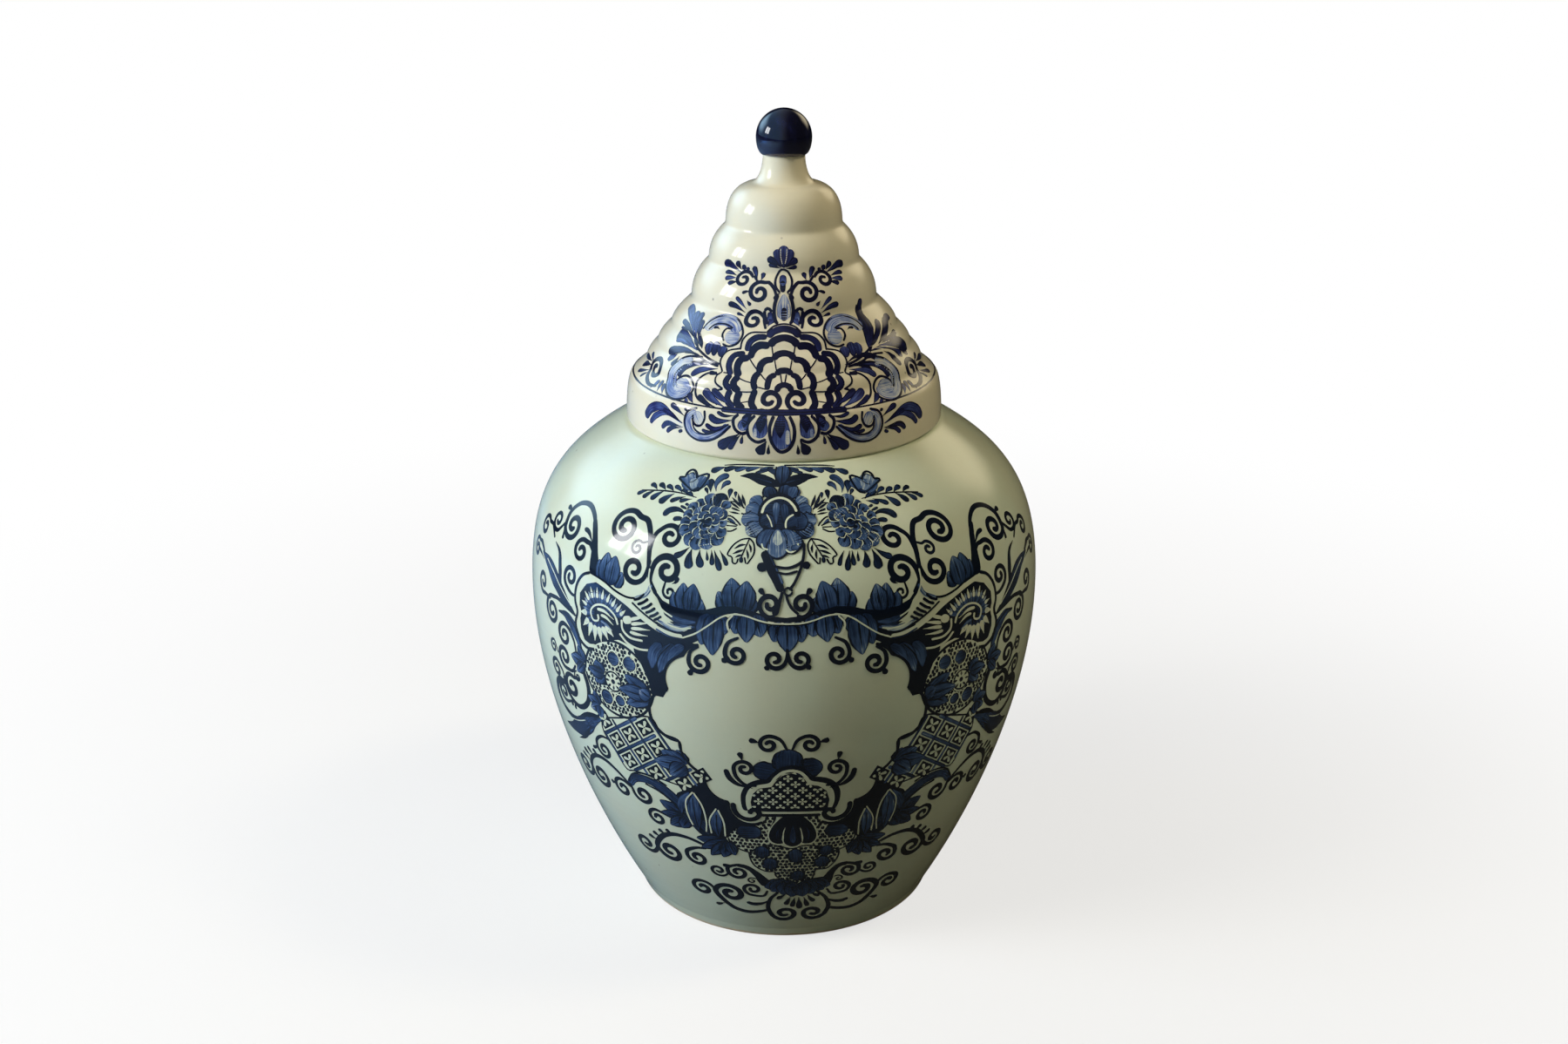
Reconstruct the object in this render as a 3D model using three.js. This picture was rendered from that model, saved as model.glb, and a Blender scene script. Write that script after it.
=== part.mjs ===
// Lidded jar of tin-glazed earthenware: a high-shouldered jar with a stepped, cap-shaped lid.
// Millimetres, +Z up, the jar stands on z = 0 and its axis is the Z axis.
// Every piece is a body of revolution, thrown on the wheel. The jar is a wall, a foot ring and a neck
// collar luted together, and the lid is a stepped shell with a ball knob luted on its stem.

import * as THREE from 'three';

// Foot ring
const footRadius = 66;
const footHeight = 5;
const footFlare = 2;
const footRingWidth = 9;

// Jar wall
const bellyRadius = 109.5;
const bellyHeight = 144;
const lowerFullness = 67;
const upperFullness = 46;
const shoulderFullness = 31;
const shoulderSlope = 30.5;
const jarWall = 6;
const floorThickness = 8;
const floorCornerRadius = 14;

// Flat land on the shoulder that carries the lid
const seatRadius = 67;
const seatHeight = 217;
const seatGap = 0.3;

// Neck collar, hidden under the lid's skirt
const neckWall = 6;
const neckHeight = 14;
const neckFit = 2;
const neckRimGap = 1.3;

// Lid skirt
const skirtInset = 0.4;
const skirtWall = 5;
const skirtHeight = 19.4;
const skirtTaper = 2.9;
const skirtEdgeBevel = 1.2;

// Lid steps from the brim slope up. The rise of a step is its share of the steps' height, and its reach
// is where its lip lies between the foot of the stem (0) and the ledge over the skirt (1).
const brimRise = 5.3;
const stepsHeight = 73.3;
const steps = [
  { rise: 0.104, reach: 0.882 },
  { rise: 0.109, reach: 0.784 },
  { rise: 0.147, reach: 0.666 },
  { rise: 0.220, reach: 0.494 },
  { rise: 0.195, reach: 0.346 },
  { rise: 0.225, reach: 0.206 },
];
const stepSlope = 40;
const crownSlope = 11;
const lidWall = 5.5;
const crownThickness = 8;

// Stem and knob
const stemRadius = 8.6;
const stemHeight = 11.4;
const stemFlare = 5.1;
const knobRadius = 11.4;
const knobDepth = 7;

// Fineness of the round shapes
const segments = 48;
const wallPoints = 10;
const stepPoints = 5;
const knobPoints = 8;
const cornerPoints = 4;

const point = (radius, height) => new THREE.Vector2(radius, height);

// Points of a cubic curve in the half plane (radius, height)
function curve(start, startHandle, endHandle, end, count) {
  return new THREE.CubicBezierCurve(start, startHandle, endHandle, end).getPoints(count);
}

// Quarter ellipse that leaves `from` level and arrives at `to` upright, or the reverse
function quarter(from, to, count, levelFirst = true) {
  const points = [];
  for (let i = 0; i <= count; i++) {
    const turn = (i / count) * (Math.PI / 2);
    const sine = Math.sin(turn);
    const rest = 1 - Math.cos(turn);
    const acrossShare = levelFirst ? sine : rest;
    const upShare = levelFirst ? rest : sine;
    points.push(point(
      from.x + (to.x - from.x) * acrossShare,
      from.y + (to.y - from.y) * upShare,
    ));
  }
  return points;
}

// Solid turned round the Z axis from an outline that goes up its outside and down its inside
function turned(outline) {
  const distinct = outline.filter((p, i) => i === 0 || p.distanceTo(outline[i - 1]) > 1e-6);
  return new THREE.LatheGeometry(distinct, segments).rotateX(Math.PI / 2);
}

// The outline moved inwards by the wall, square to itself
function insetOutline(outline, wall) {
  return outline.map((p, i) => {
    const before = outline[Math.max(i - 1, 0)];
    const after = outline[Math.min(i + 1, outline.length - 1)];
    const along = after.clone().sub(before).normalize();
    return point(p.x - along.y * wall, p.y + along.x * wall);
  });
}

// Outer face of the jar wall, from the top of the foot ring to the edge of the lid's seat
const wallFoot = point(footRadius + footFlare, footHeight);
const belly = point(bellyRadius, bellyHeight);
const seatEdge = point(seatRadius, seatHeight);
const slope = THREE.MathUtils.degToRad(shoulderSlope);

function wallOutline() {
  const lower = curve(
    wallFoot,
    wallFoot,
    point(bellyRadius, bellyHeight - lowerFullness),
    belly,
    wallPoints,
  );
  const upper = curve(
    belly,
    point(bellyRadius, bellyHeight + upperFullness),
    point(seatRadius + shoulderFullness * Math.cos(slope), seatHeight - shoulderFullness * Math.sin(slope)),
    seatEdge,
    wallPoints,
  );
  return [...lower, ...upper.slice(1)];
}

// Radii that the neck and the lid share
const skirtRadius = seatRadius - skirtInset;
const skirtBore = skirtRadius - skirtWall;
const neckRadius = skirtBore - neckFit;
const neckBore = neckRadius - neckWall;

function jarBody() {
  const outer = wallOutline();
  const inner = insetOutline(outer, jarWall);
  const floorHeight = footHeight + floorThickness;
  const cornerTop = floorHeight + floorCornerRadius;
  const inside = inner.filter((p) => p.y > cornerTop && p.x > neckBore);
  const wallAtCorner = inside[0].x - (inside[1].x - inside[0].x) / (inside[1].y - inside[0].y)
    * (inside[0].y - cornerTop);
  const corner = quarter(
    point(wallAtCorner - floorCornerRadius, floorHeight),
    point(wallAtCorner, cornerTop),
    cornerPoints,
  );
  const lastInside = inside[inside.length - 1];
  return turned([
    point(0, footHeight),
    ...outer,
    point(neckBore, seatHeight),
    point(neckBore, lastInside.y),
    ...inside.reverse(),
    ...corner.reverse(),
    point(0, floorHeight),
  ]);
}

function footRing() {
  const bore = footRadius - footRingWidth;
  return turned([
    point(bore, 0),
    point(footRadius, 0),
    wallFoot,
    point(bore, footHeight),
    point(bore, 0),
  ]);
}

// The collar's rim is a half round
function jarNeck() {
  const rim = neckWall / 2;
  const middle = neckRadius - rim;
  const rimStart = seatHeight + neckHeight - rim;
  const top = point(middle, seatHeight + neckHeight);
  return turned([
    point(neckBore, seatHeight),
    point(neckRadius, seatHeight),
    ...quarter(point(neckRadius, rimStart), top, cornerPoints, false),
    ...quarter(top, point(neckBore, rimStart), cornerPoints),
    point(neckBore, seatHeight),
  ]);
}

// The lid is drawn with the underside of its skirt at height 0
const ledgeHeight = skirtHeight;
const ledgeRadius = skirtRadius - skirtTaper;
const stemFoot = stemRadius + stemFlare;
const brimTop = ledgeHeight + brimRise;
const stemBase = brimTop + stepsHeight;
const stemTop = stemBase + stemHeight;

// Lip of each step and its height, from the lowest up
function stepLips() {
  let height = brimTop;
  return steps.map(({ rise, reach }) => {
    const lip = point(stemFoot + (ledgeRadius - stemFoot) * reach, height);
    height += stepsHeight * rise;
    return lip;
  });
}

// Face of a step: it leaves its lip upright and leans in at the slope where it meets the next one
function stepFace(lip, foot, leanIn) {
  const turn = point(lip.x, foot.y - (lip.x - foot.x) * Math.tan(THREE.MathUtils.degToRad(leanIn)));
  return new THREE.QuadraticBezierCurve(lip, turn, foot).getPoints(stepPoints);
}

// Outer face of the lid from the skirt's edge up to the top of the stem
function lidOutline() {
  const lips = stepLips();
  const ledge = point(ledgeRadius, ledgeHeight);
  const skirt = quarter(point(skirtRadius, skirtEdgeBevel), ledge, stepPoints, false);
  const outline = [point(skirtRadius - skirtEdgeBevel, 0), ...skirt];
  lips.forEach((lip, i) => {
    const next = lips[i + 1];
    outline.push(...(next
      ? stepFace(lip, next, stepSlope)
      : stepFace(lip, point(stemFoot, stemBase), crownSlope)));
  });
  outline.push(...quarter(point(stemFoot, stemBase), point(stemRadius, stemTop), stepPoints, true));
  return outline;
}

// Inside, a plain cone follows the steps one lid wall away and ends in a dome under the stem
function lidShell() {
  const lips = stepLips();
  const topLip = lips[lips.length - 1];
  const boreTop = neckHeight + neckRimGap - seatGap;
  const cone = lips.map((lip) => point(lip.x - lidWall, lip.y));
  const crown = quarter(
    point(topLip.x - lidWall, topLip.y),
    point(0, stemBase - crownThickness),
    stepPoints,
    false,
  );
  return turned([
    ...lidOutline(),
    point(0, stemTop),
    ...crown.reverse(),
    ...cone.reverse().slice(1),
    point(skirtBore, boreTop),
    point(skirtBore, 0),
    point(skirtRadius - skirtEdgeBevel, 0),
  ]);
}

// A ball whose underside is drawn in to the stem
function lidKnob() {
  const middle = stemTop + knobDepth;
  return turned([
    point(0, stemTop),
    ...quarter(point(stemRadius, stemTop), point(knobRadius, middle), knobPoints),
    ...quarter(point(knobRadius, middle), point(0, middle + knobRadius), knobPoints, false),
  ]);
}

function finish(color, roughness) {
  return new THREE.MeshStandardMaterial({ color, roughness, metalness: 0 });
}

const jarGlaze = finish(0xd9dfcd, 0.12);
const lidGlaze = finish(0xe2e0cd, 0.12);
const cobaltGlaze = finish(0x15183c, 0.1);
const bareClay = finish(0xcbb594, 0.85);

function piece(name, geometry, material) {
  const mesh = new THREE.Mesh(geometry, material);
  mesh.name = name;
  return mesh;
}

const jar = new THREE.Group();
jar.add(
  piece('jar_body', jarBody(), jarGlaze),
  piece('foot_ring', footRing(), bareClay),
  piece('neck_collar', jarNeck(), jarGlaze),
);

const lid = new THREE.Group();
lid.position.z = seatHeight + seatGap;
lid.add(
  piece('lid_shell', lidShell(), lidGlaze),
  piece('lid_knob', lidKnob(), cobaltGlaze),
);

const liddedJar = new THREE.Group();
liddedJar.add(jar, lid);

export default liddedJar;
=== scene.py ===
import math

import bpy
import numpy as np
from bpy.props import BoolProperty, FloatProperty, FloatVectorProperty, IntProperty, PointerProperty
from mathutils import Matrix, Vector


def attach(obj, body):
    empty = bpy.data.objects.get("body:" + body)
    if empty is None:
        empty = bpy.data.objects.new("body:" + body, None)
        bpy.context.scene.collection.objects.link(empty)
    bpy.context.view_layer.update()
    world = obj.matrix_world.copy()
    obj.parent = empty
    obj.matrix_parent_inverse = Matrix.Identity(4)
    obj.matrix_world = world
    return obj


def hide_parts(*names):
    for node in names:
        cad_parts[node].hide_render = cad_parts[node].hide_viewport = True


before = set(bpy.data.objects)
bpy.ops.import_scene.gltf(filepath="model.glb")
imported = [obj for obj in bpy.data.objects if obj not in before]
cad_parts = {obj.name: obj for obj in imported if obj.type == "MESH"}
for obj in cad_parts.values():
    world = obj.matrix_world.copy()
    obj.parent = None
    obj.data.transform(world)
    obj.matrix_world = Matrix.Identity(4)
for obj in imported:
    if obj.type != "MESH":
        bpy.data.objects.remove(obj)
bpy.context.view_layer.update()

bl_info = {
    "name": "Lidded jar",
    "version": (1, 0, 0),
    "blender": (4, 5, 0),
    "location": "3D View > Sidebar > Jar",
    "description": "Glazes, foot, knob and brush painting of a lidded earthenware jar",
    "category": "Add Mesh",
}

# Sizes of the pottery in millimetres, as the solids have them
FOOT_RADIUS = 66.0
FOOT_HEIGHT = 5.0
FOOT_TOP_RADIUS = 68.0
FOOT_BORE = 57.0
BELLY_RADIUS = 109.5
BELLY_HEIGHT = 144.0
LOWER_FULLNESS = 67.0
UPPER_FULLNESS = 46.0
SHOULDER_FULLNESS = 31.0
SHOULDER_SLOPE = 30.5
JAR_WALL = 6.0
FLOOR_HEIGHT = 13.0
FLOOR_CORNER = 14.0
SEAT_RADIUS = 67.0
SEAT_HEIGHT = 217.0
NECK_RADIUS = 59.6
NECK_BORE = 53.6
NECK_HEIGHT = 14.0
LID_BASE = 217.3
SKIRT_RADIUS = 66.6
SKIRT_BORE = 61.6
SKIRT_BEVEL = 1.2
LEDGE_RADIUS = 63.7
LEDGE_HEIGHT = 19.4
BRIM_RISE = 5.3
STEPS_HEIGHT = 73.3
STEPS = ((0.104, 0.882), (0.109, 0.784), (0.147, 0.666), (0.220, 0.494), (0.195, 0.346), (0.225, 0.206))
STEP_SLOPE = 40.0
CROWN_SLOPE = 11.0
LID_WALL = 5.5
CROWN_THICKNESS = 8.0
STEM_FOOT = 13.7
STEM_RADIUS = 8.6
STEM_HEIGHT = 11.4
KNOB_RADIUS = 11.4
KNOB_DEPTH = 7.0

# Radius at which a millimetre of the painter's drawing is a millimetre round the pot
JAR_RING = 109.5
LID_RING = 60.0

# Points of a wall's curve and of a step's
WALL_POINTS = 600
STEP_POINTS = 60

# Millimetres between the points of the lid's outline, and over which its lips are softened
OUTLINE_STEP = 0.1
LIP_SOFTNESS = 0.8

# Degrees between two faces from which their edge shades sharp
SHARP_ANGLE = 38.0

# The drawing counts in millimetres and Blender in metres
TO_METRES = 0.001
TO_MILLIMETRES = 1000


# Curves in the half plane (radius, height)

def bezier(points, count):
    """Curve of a control polygon by mixing neighbours again and again: (1 - t) * p[i] + t * p[i + 1]."""
    t = np.linspace(0, 1, count)[:, None]
    level = [np.broadcast_to(np.array(p, float), (count, 2)) for p in points]
    while len(level) > 1:
        level = [(1 - t) * a + t * b for a, b in zip(level, level[1:])]
    return level[0]


def quarter(start, end, count, level_first=True):
    """Quarter ellipse from start to end: one coordinate follows sin t, the other 1 - cos t."""
    t = np.linspace(0, math.pi / 2, count)
    across, up = np.sin(t), 1 - np.cos(t)
    if not level_first:
        across, up = up, across
    start, end = np.array(start, float), np.array(end, float)
    return start + (end - start) * np.stack([across, up], 1)


def lengths(points):
    """Distance walked along a polyline up to each of its points."""
    return np.r_[0, np.cumsum(np.hypot(*np.diff(points, axis=0).T))]


def without_repeats(points):
    """The polyline without points that repeat the one before."""
    step = np.hypot(*np.diff(points, axis=0).T)
    return points[np.r_[True, step > 1e-7]]


def respaced(points, step):
    """The polyline with its points about one step apart."""
    along = lengths(points)
    at = np.linspace(0, along[-1], max(2, int(along[-1] / step) + 1))
    return np.stack([np.interp(at, along, points[:, k]) for k in (0, 1)], 1)


def inset(outline, wall):
    """The outline moved inwards by the wall, square to itself."""
    along = np.gradient(outline, axis=0)
    along /= np.hypot(along[:, 0], along[:, 1])[:, None]
    return outline + wall * np.stack([-along[:, 1], along[:, 0]], 1)


def jar_outline():
    """Outer face of the jar from the standing edge to the seat: two cubic curves that meet at the belly."""
    slope = math.radians(SHOULDER_SLOPE)
    foot, seat = (FOOT_TOP_RADIUS, FOOT_HEIGHT), (SEAT_RADIUS, SEAT_HEIGHT)
    below, belly, above = (
        (BELLY_RADIUS, BELLY_HEIGHT + more) for more in (-LOWER_FULLNESS, 0.0, UPPER_FULLNESS)
    )
    shoulder = (
        SEAT_RADIUS + SHOULDER_FULLNESS * math.cos(slope),
        SEAT_HEIGHT - SHOULDER_FULLNESS * math.sin(slope),
    )
    lower = bezier((foot, foot, below, belly), WALL_POINTS)
    upper = bezier((belly, above, shoulder, seat), WALL_POINTS)
    return without_repeats(np.vstack([[(FOOT_RADIUS, 0)], lower, upper]))


def lid_lips():
    """Lip of each step of the lid with its height above the skirt's edge, from the lowest up."""
    rises, reaches = np.array(STEPS).T
    heights = LEDGE_HEIGHT + BRIM_RISE + STEPS_HEIGHT * np.r_[0, np.cumsum(rises)[:-1]]
    return np.stack([STEM_FOOT + (LEDGE_RADIUS - STEM_FOOT) * reaches, heights], 1)


def lid_outline():
    """Outer face of the lid from the skirt's edge to the stem's top. Each step is a quadratic curve that
    leaves its lip upright. The line is then averaged over a short length, which softens lips and notches."""
    lips = lid_lips()
    stem_base = LEDGE_HEIGHT + BRIM_RISE + STEPS_HEIGHT
    parts = [
        [(SKIRT_RADIUS - SKIRT_BEVEL, 0)],
        quarter((SKIRT_RADIUS, SKIRT_BEVEL), (LEDGE_RADIUS, LEDGE_HEIGHT), STEP_POINTS, False),
    ]
    for i, lip in enumerate(lips):
        top = i == len(lips) - 1
        foot = (STEM_FOOT, stem_base) if top else lips[i + 1]
        lean = math.tan(math.radians(CROWN_SLOPE if top else STEP_SLOPE))
        parts.append(bezier((lip, (lip[0], foot[1] - (lip[0] - foot[0]) * lean), foot), STEP_POINTS))
    parts.append(quarter((STEM_FOOT, stem_base), (STEM_RADIUS, stem_base + STEM_HEIGHT), STEP_POINTS))
    sharp = respaced(without_repeats(np.vstack(parts)), OUTLINE_STEP)
    reach = int(3 * LIP_SOFTNESS / OUTLINE_STEP)
    weights = np.exp(-0.5 * (np.arange(-reach, reach + 1) * OUTLINE_STEP / LIP_SOFTNESS) ** 2)
    weights /= weights.sum()
    padded = np.vstack([np.repeat(sharp[:1], reach, 0), sharp, np.repeat(sharp[-1:], reach, 0)])
    soft = np.stack([np.convolve(padded[:, k], weights, "valid") for k in (0, 1)], 1)
    along = lengths(sharp)
    # The skirt's edge and the stem's top stay as they are
    sharp_start, sharp_end, fade = 2, 1, 3
    share = np.clip(np.minimum(along - sharp_start, along[-1] - along - sharp_end) / fade, 0, 1)[:, None]
    return sharp + (soft - sharp) * share + (0, LID_BASE)


class Wall:
    """A face of revolution. A place on it is millimetres round at the ring's radius, and millimetres up the
    outline."""

    def __init__(self, outline, ring):
        self.outline = outline
        self.ring = ring
        self.along = lengths(outline)
        self.tangent = np.gradient(outline, self.along, axis=0)
        self.tangent /= np.hypot(*self.tangent.T)[:, None]

    def radius(self, up):
        """Radius of the pot at a distance up its outline."""
        return np.interp(up, self.along, self.outline[:, 0])

    def place(self, around, up, lift):
        """Points and normals: angle a = around / ring, point (R sin a, -R cos a, Z), where (R, Z) is the
        outline's point moved out by the lift along its normal."""
        angle = around / self.ring
        r, z = (np.interp(up, self.along, self.outline[:, k]) for k in (0, 1))
        nr = np.interp(up, self.along, self.tangent[:, 1])
        nz = -np.interp(up, self.along, self.tangent[:, 0])
        size = np.hypot(nr, nz)
        nr, nz = nr / size, nz / size
        r, z = r + lift * nr, z + lift * nz
        points = np.stack([r * np.sin(angle), -r * np.cos(angle), z], -1)
        normals = np.stack([nr * np.sin(angle), -nr * np.cos(angle), nz], -1)
        return points, normals


JAR_WALL_FACE = Wall(jar_outline(), JAR_RING)
LID_WALL_FACE = Wall(lid_outline(), LID_RING)


# Meshes

def make_mesh(name, material, points, quads, triangles, normals=None, layers=None):
    """Object with the given points in millimetres, faces as rows of indices, and layers of three numbers a
    point."""
    mesh = bpy.data.meshes.new(name)
    quads = np.asarray(quads, np.int32).reshape(-1, 4)
    triangles = np.asarray(triangles, np.int32).reshape(-1, 3)
    corners = np.concatenate([quads.ravel(), triangles.ravel()])
    starts = np.concatenate([np.arange(len(quads)) * 4, len(quads) * 4 + np.arange(len(triangles)) * 3])
    mesh.vertices.add(len(points))
    mesh.vertices.foreach_set("co", (np.asarray(points, np.float32) * TO_METRES).ravel())
    mesh.loops.add(len(corners))
    mesh.loops.foreach_set("vertex_index", corners.astype(np.int32))
    mesh.polygons.add(len(starts))
    mesh.polygons.foreach_set("loop_start", starts.astype(np.int32))
    mesh.update(calc_edges=True)
    mesh.validate()
    for key, values in (layers or {}).items():
        layer = mesh.attributes.new(key, "FLOAT_VECTOR", "POINT")
        layer.data.foreach_set("vector", np.asarray(values, np.float32).ravel())
    mesh.materials.append(material)
    mesh.shade_smooth()
    if normals is not None:
        mesh.normals_split_custom_set_from_vertices(np.asarray(normals, float))
    piece = bpy.data.objects.new(name, mesh)
    bpy.context.scene.collection.objects.link(piece)
    return piece


def revolved(name, material, outline, segments, closed=False):
    """Face of revolution: row i is the outline's point i, column j the angle 2 pi j / segments. An open
    outline starts and ends on the axis, in one point with a fan of triangles. A closed one joins up. The
    outline goes up the outside and down the inside, so that the faces point outwards."""
    outline = without_repeats(np.asarray(outline, float))
    angle = np.arange(segments) * 2 * math.pi / segments
    rows = outline if closed else outline[1:-1]
    r, z = rows[:, :1], rows[:, 1:]
    ring = np.stack([r * np.sin(angle), -r * np.cos(angle), z + 0 * angle], -1)
    count = len(rows)
    index = np.arange(count * segments).reshape(count, segments)
    turn = np.roll(index, -1, axis=1)
    if closed:
        below, below_turn = index, turn
        above, above_turn = np.roll(index, -1, axis=0), np.roll(turn, -1, axis=0)
    else:
        below, below_turn, above, above_turn = index[:-1], turn[:-1], index[1:], turn[1:]
    quads = np.stack([below, below_turn, above_turn, above], -1).reshape(-1, 4)
    points = ring.reshape(-1, 3)
    triangles = np.zeros((0, 3), int)
    if not closed:
        first, last = len(points), len(points) + 1
        points = np.vstack([points, (0, 0, outline[0, 1]), (0, 0, outline[-1, 1])])
        start_fan = np.stack([np.full(segments, first), turn[0], index[0]], -1)
        end_fan = np.stack([np.full(segments, last), index[-1], turn[-1]], -1)
        triangles = np.vstack([start_fan, end_fan])
    piece = make_mesh(name, material, points, quads, triangles)
    piece.data.set_sharp_from_angle(angle=math.radians(SHARP_ANGLE))
    return piece


# Brush strokes

# Width of a stroke from its first point to its last, as shares of its full width
BRUSHES = {
    "line": (1.0, 1.0, 1.0, 1.0),
    "vine": (0.55, 0.85, 1.0, 1.0, 1.0, 1.0),
    "stem": (1.0, 0.85, 0.62, 0.48, 0.42),
    "comma": (0.78, 1.0, 0.96, 0.78, 0.5, 0.22, 0.06),
    "leaf": (0.05, 0.45, 0.82, 1.0, 0.9, 0.55, 0.1),
    "petal": (0.25, 0.6, 0.85, 1.0, 1.0, 0.82),
    "lobe": (0.62, 0.86, 1.0, 1.0, 0.86, 0.55, 0.12),
    "blob": (0.9, 1.0, 1.0, 0.9),
}

# Brushes that are drawn from a centre and a radius
SPIRALS = ("curl", "ring")

# Strength of the cobalt from the first point of a stroke to its last: 0 is bare glaze and 1 the darkest line
MIXES = {
    "ink": (0.97, 0.97),
    "deep": (0.80, 0.92),
    "dusk": (0.87, 0.60),
    "wash": (0.74, 0.44),
    "rise": (0.52, 0.84),
    "tint": (0.54, 0.40),
    "pale": (0.26, 0.36),
    "mist": (0.36, 0.22),
    "bare": (0.0, 0.0),
}

# Which way x counts in a table
LEFT = -1
RIGHT = 1

# Rows of a stroke: millimetres between them, the fewest and the most, and how far off its direction is taken
ROW_STEP = 0.8
ROW_COUNTS = (4, 110)
LOOK_AHEAD = 0.35

# Columns of a stroke that is narrower than a width, and the rim outside them in millimetres and as a share
COLUMNS = ((1.3, 3), (3.2, 5), (7.0, 7), (math.inf, 11))
RIM = 0.1
RIM_SHARE = 0.2

# A blob is longer than its points by a share of its width at each end
BLOB_REACH = 0.42

# Round ends: the longest as shares of a stroke's length and half width, the shortest in millimetres, and
# where their extra rows lie
CAP_LENGTH = 0.48
CAP_WIDTH = 0.95
CAP_LEAST = 0.05
CAP_ROWS = (0.03, 0.13, 0.32, 0.6)

# A steady hand wavers a little: share of the width, and speed along the stroke
WAVERS = ((0.035, 9), (0.02, 23))
LEAST_HALF_WIDTH = 0.02

# Height of the paint as shares of its thickness, of a stroke over the one before, and depth of its edges
FIRST_LAYER = 0.6
NEXT_LAYER = 0.8
STROKE_RISE = 0.0009
EDGE_DEPTH = 0.04

# How far a hand misses when it paints the other side, a leaf's middle or a petal's tip, in millimetres, and a
# dot as a share of the spacing
OTHER_SIDE_MISS = 0.12
LEAF_MISS = 0.3
PETAL_MISS = 0.25
DOT_MISS = 0.084

# A curl's reach falls by a share, along a power of the way, in a number of points a turn
CURL_FALL = 0.84
CURL_POWER = 0.92
CURL_POINTS = 12

# A curl's widest stroke and its most turns, as shares of its radius and of its radius over its width
CURL_WIDEST = 0.42
CURL_ROOM = 0.58
RING_POINTS = 16

# A leaf's strokes are wider than listed by a factor, and its outline again by millimetres
LEAF_FATNESS = 1.15
LEAF_OUTLINE = 1.0

# A square touch: half width and half height as shares of its size, how near to its edge the brush goes, its
# greatest slant, and the distance of rows as a share of that of columns
DAB_HALF_WIDTH = 0.56
DAB_HALF_HEIGHT = 0.5
DAB_EDGE = 0.6
DAB_SLANT = 0.6
DOT_ROWS = 0.87

# Points at which a clipped line is tried, and how many of them its stroke skips at a time
CLIP_POINTS = 240
CLIP_STEP = 6


def flowing(points, per=10):
    """Curve through the points: from p1 to p2 it is the cubic with slopes (p2 - p0) / 2 and (p3 - p1) / 2."""
    points = np.array(points, float).reshape(-1, 2)
    if len(points) == 2:
        return np.linspace(points[0], points[1], per + 1)
    ends = np.vstack([2 * points[0] - points[1], points, 2 * points[-1] - points[-2]])
    p0, p1, p2, p3 = (ends[k:len(ends) - 3 + k, None] for k in range(4))
    t = np.linspace(0, 1, per, endpoint=False)[None, :, None]
    body = 0.5 * (2 * p1 + (p2 - p0) * t + (2 * p0 - 5 * p1 + 4 * p2 - p3) * t ** 2
                  + (3 * p1 - p0 - 3 * p2 + p3) * t ** 3)
    return np.vstack([body.reshape(-1, 2), points[-1:]])


def curl_points(wall, centre, radius, start, turns, tail=()):
    """Spiral that winds in from its outer end: at share t of the way its angle is start + 360 turns t and its
    radius falls to a sixth. The tail's points lead up to the outer end."""
    t = np.linspace(0, 1, max(4, int(abs(turns) * CURL_POINTS)))
    angle = np.radians(start + 360 * turns * t)
    reach = radius * (1 - CURL_FALL * t ** CURL_POWER)
    wide = wall.ring / wall.radius(centre[1])
    spiral = np.stack([centre[0] + reach * np.cos(angle) * wide, centre[1] + reach * np.sin(angle)], 1)
    return np.vstack([np.array(tail, float).reshape(-1, 2), spiral])


def arc(start, through, end, count=24):
    """Arc of the circle through three points."""
    a, b, c = (complex(*p) for p in (start, through, end))
    w = (c - a) / (b - a)
    centre = (b - a) * (w - abs(w) ** 2) / (2j * w.imag) + a
    first = np.angle(a - centre)
    sweep = np.angle((c - centre) / (a - centre))
    middle = np.angle((b - centre) / (a - centre))
    if sweep * middle < 0 or abs(middle) > abs(sweep):
        sweep -= math.copysign(2 * math.pi, sweep)
    angle = first + sweep * np.linspace(0, 1, count)
    at = centre + abs(a - centre) * np.exp(1j * angle)
    return np.stack([at.real, at.imag], 1)


def inside(points, outline):
    """True for each point that lies in the closed outline, by counting the edges that a level ray crosses."""
    x, y = points[:, 0, None], points[:, 1, None]
    x1, y1 = outline[:, 0], outline[:, 1]
    x2, y2 = np.roll(x1, -1), np.roll(y1, -1)
    spans = (y1 > y) != (y2 > y)
    slope = (x2 - x1) / np.where(y2 == y1, 1e-9, y2 - y1)
    return (spans & (x < x1 + (y - y1) * slope)).sum(1) % 2 == 1


def strokes(text, way=LEFT):
    """Strokes written one to a line: brush, mix, width, then points. A brush, a mix or points that are left
    out are those of the line before, and an indented line goes on with it. The way is that of x."""
    rows, brush, mix, points = [], "", "", []
    for line in text.strip().replace("\n ", " ").splitlines():
        words = line.split()
        if words[0] in BRUSHES or words[0] in SPIRALS:
            brush = words.pop(0)
        if words[0] in MIXES:
            mix = words.pop(0)
        points = words[1:] or points
        row = np.array([words[0], *points], float)
        row[[1, *range(6 if brush in SPIRALS else 1, len(row), 2)]] *= way
        rows.append((brush, mix, *row))
    return rows


def numbers(text, count=2):
    """The numbers of a text in rows of a count."""
    return np.array(text.split(), float).reshape(-1, count)


def sides(both):
    """Whether each copy of a stroke is mirrored: the left one isn't, and the right one is."""
    return (False, True) if both else (False,)


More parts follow.
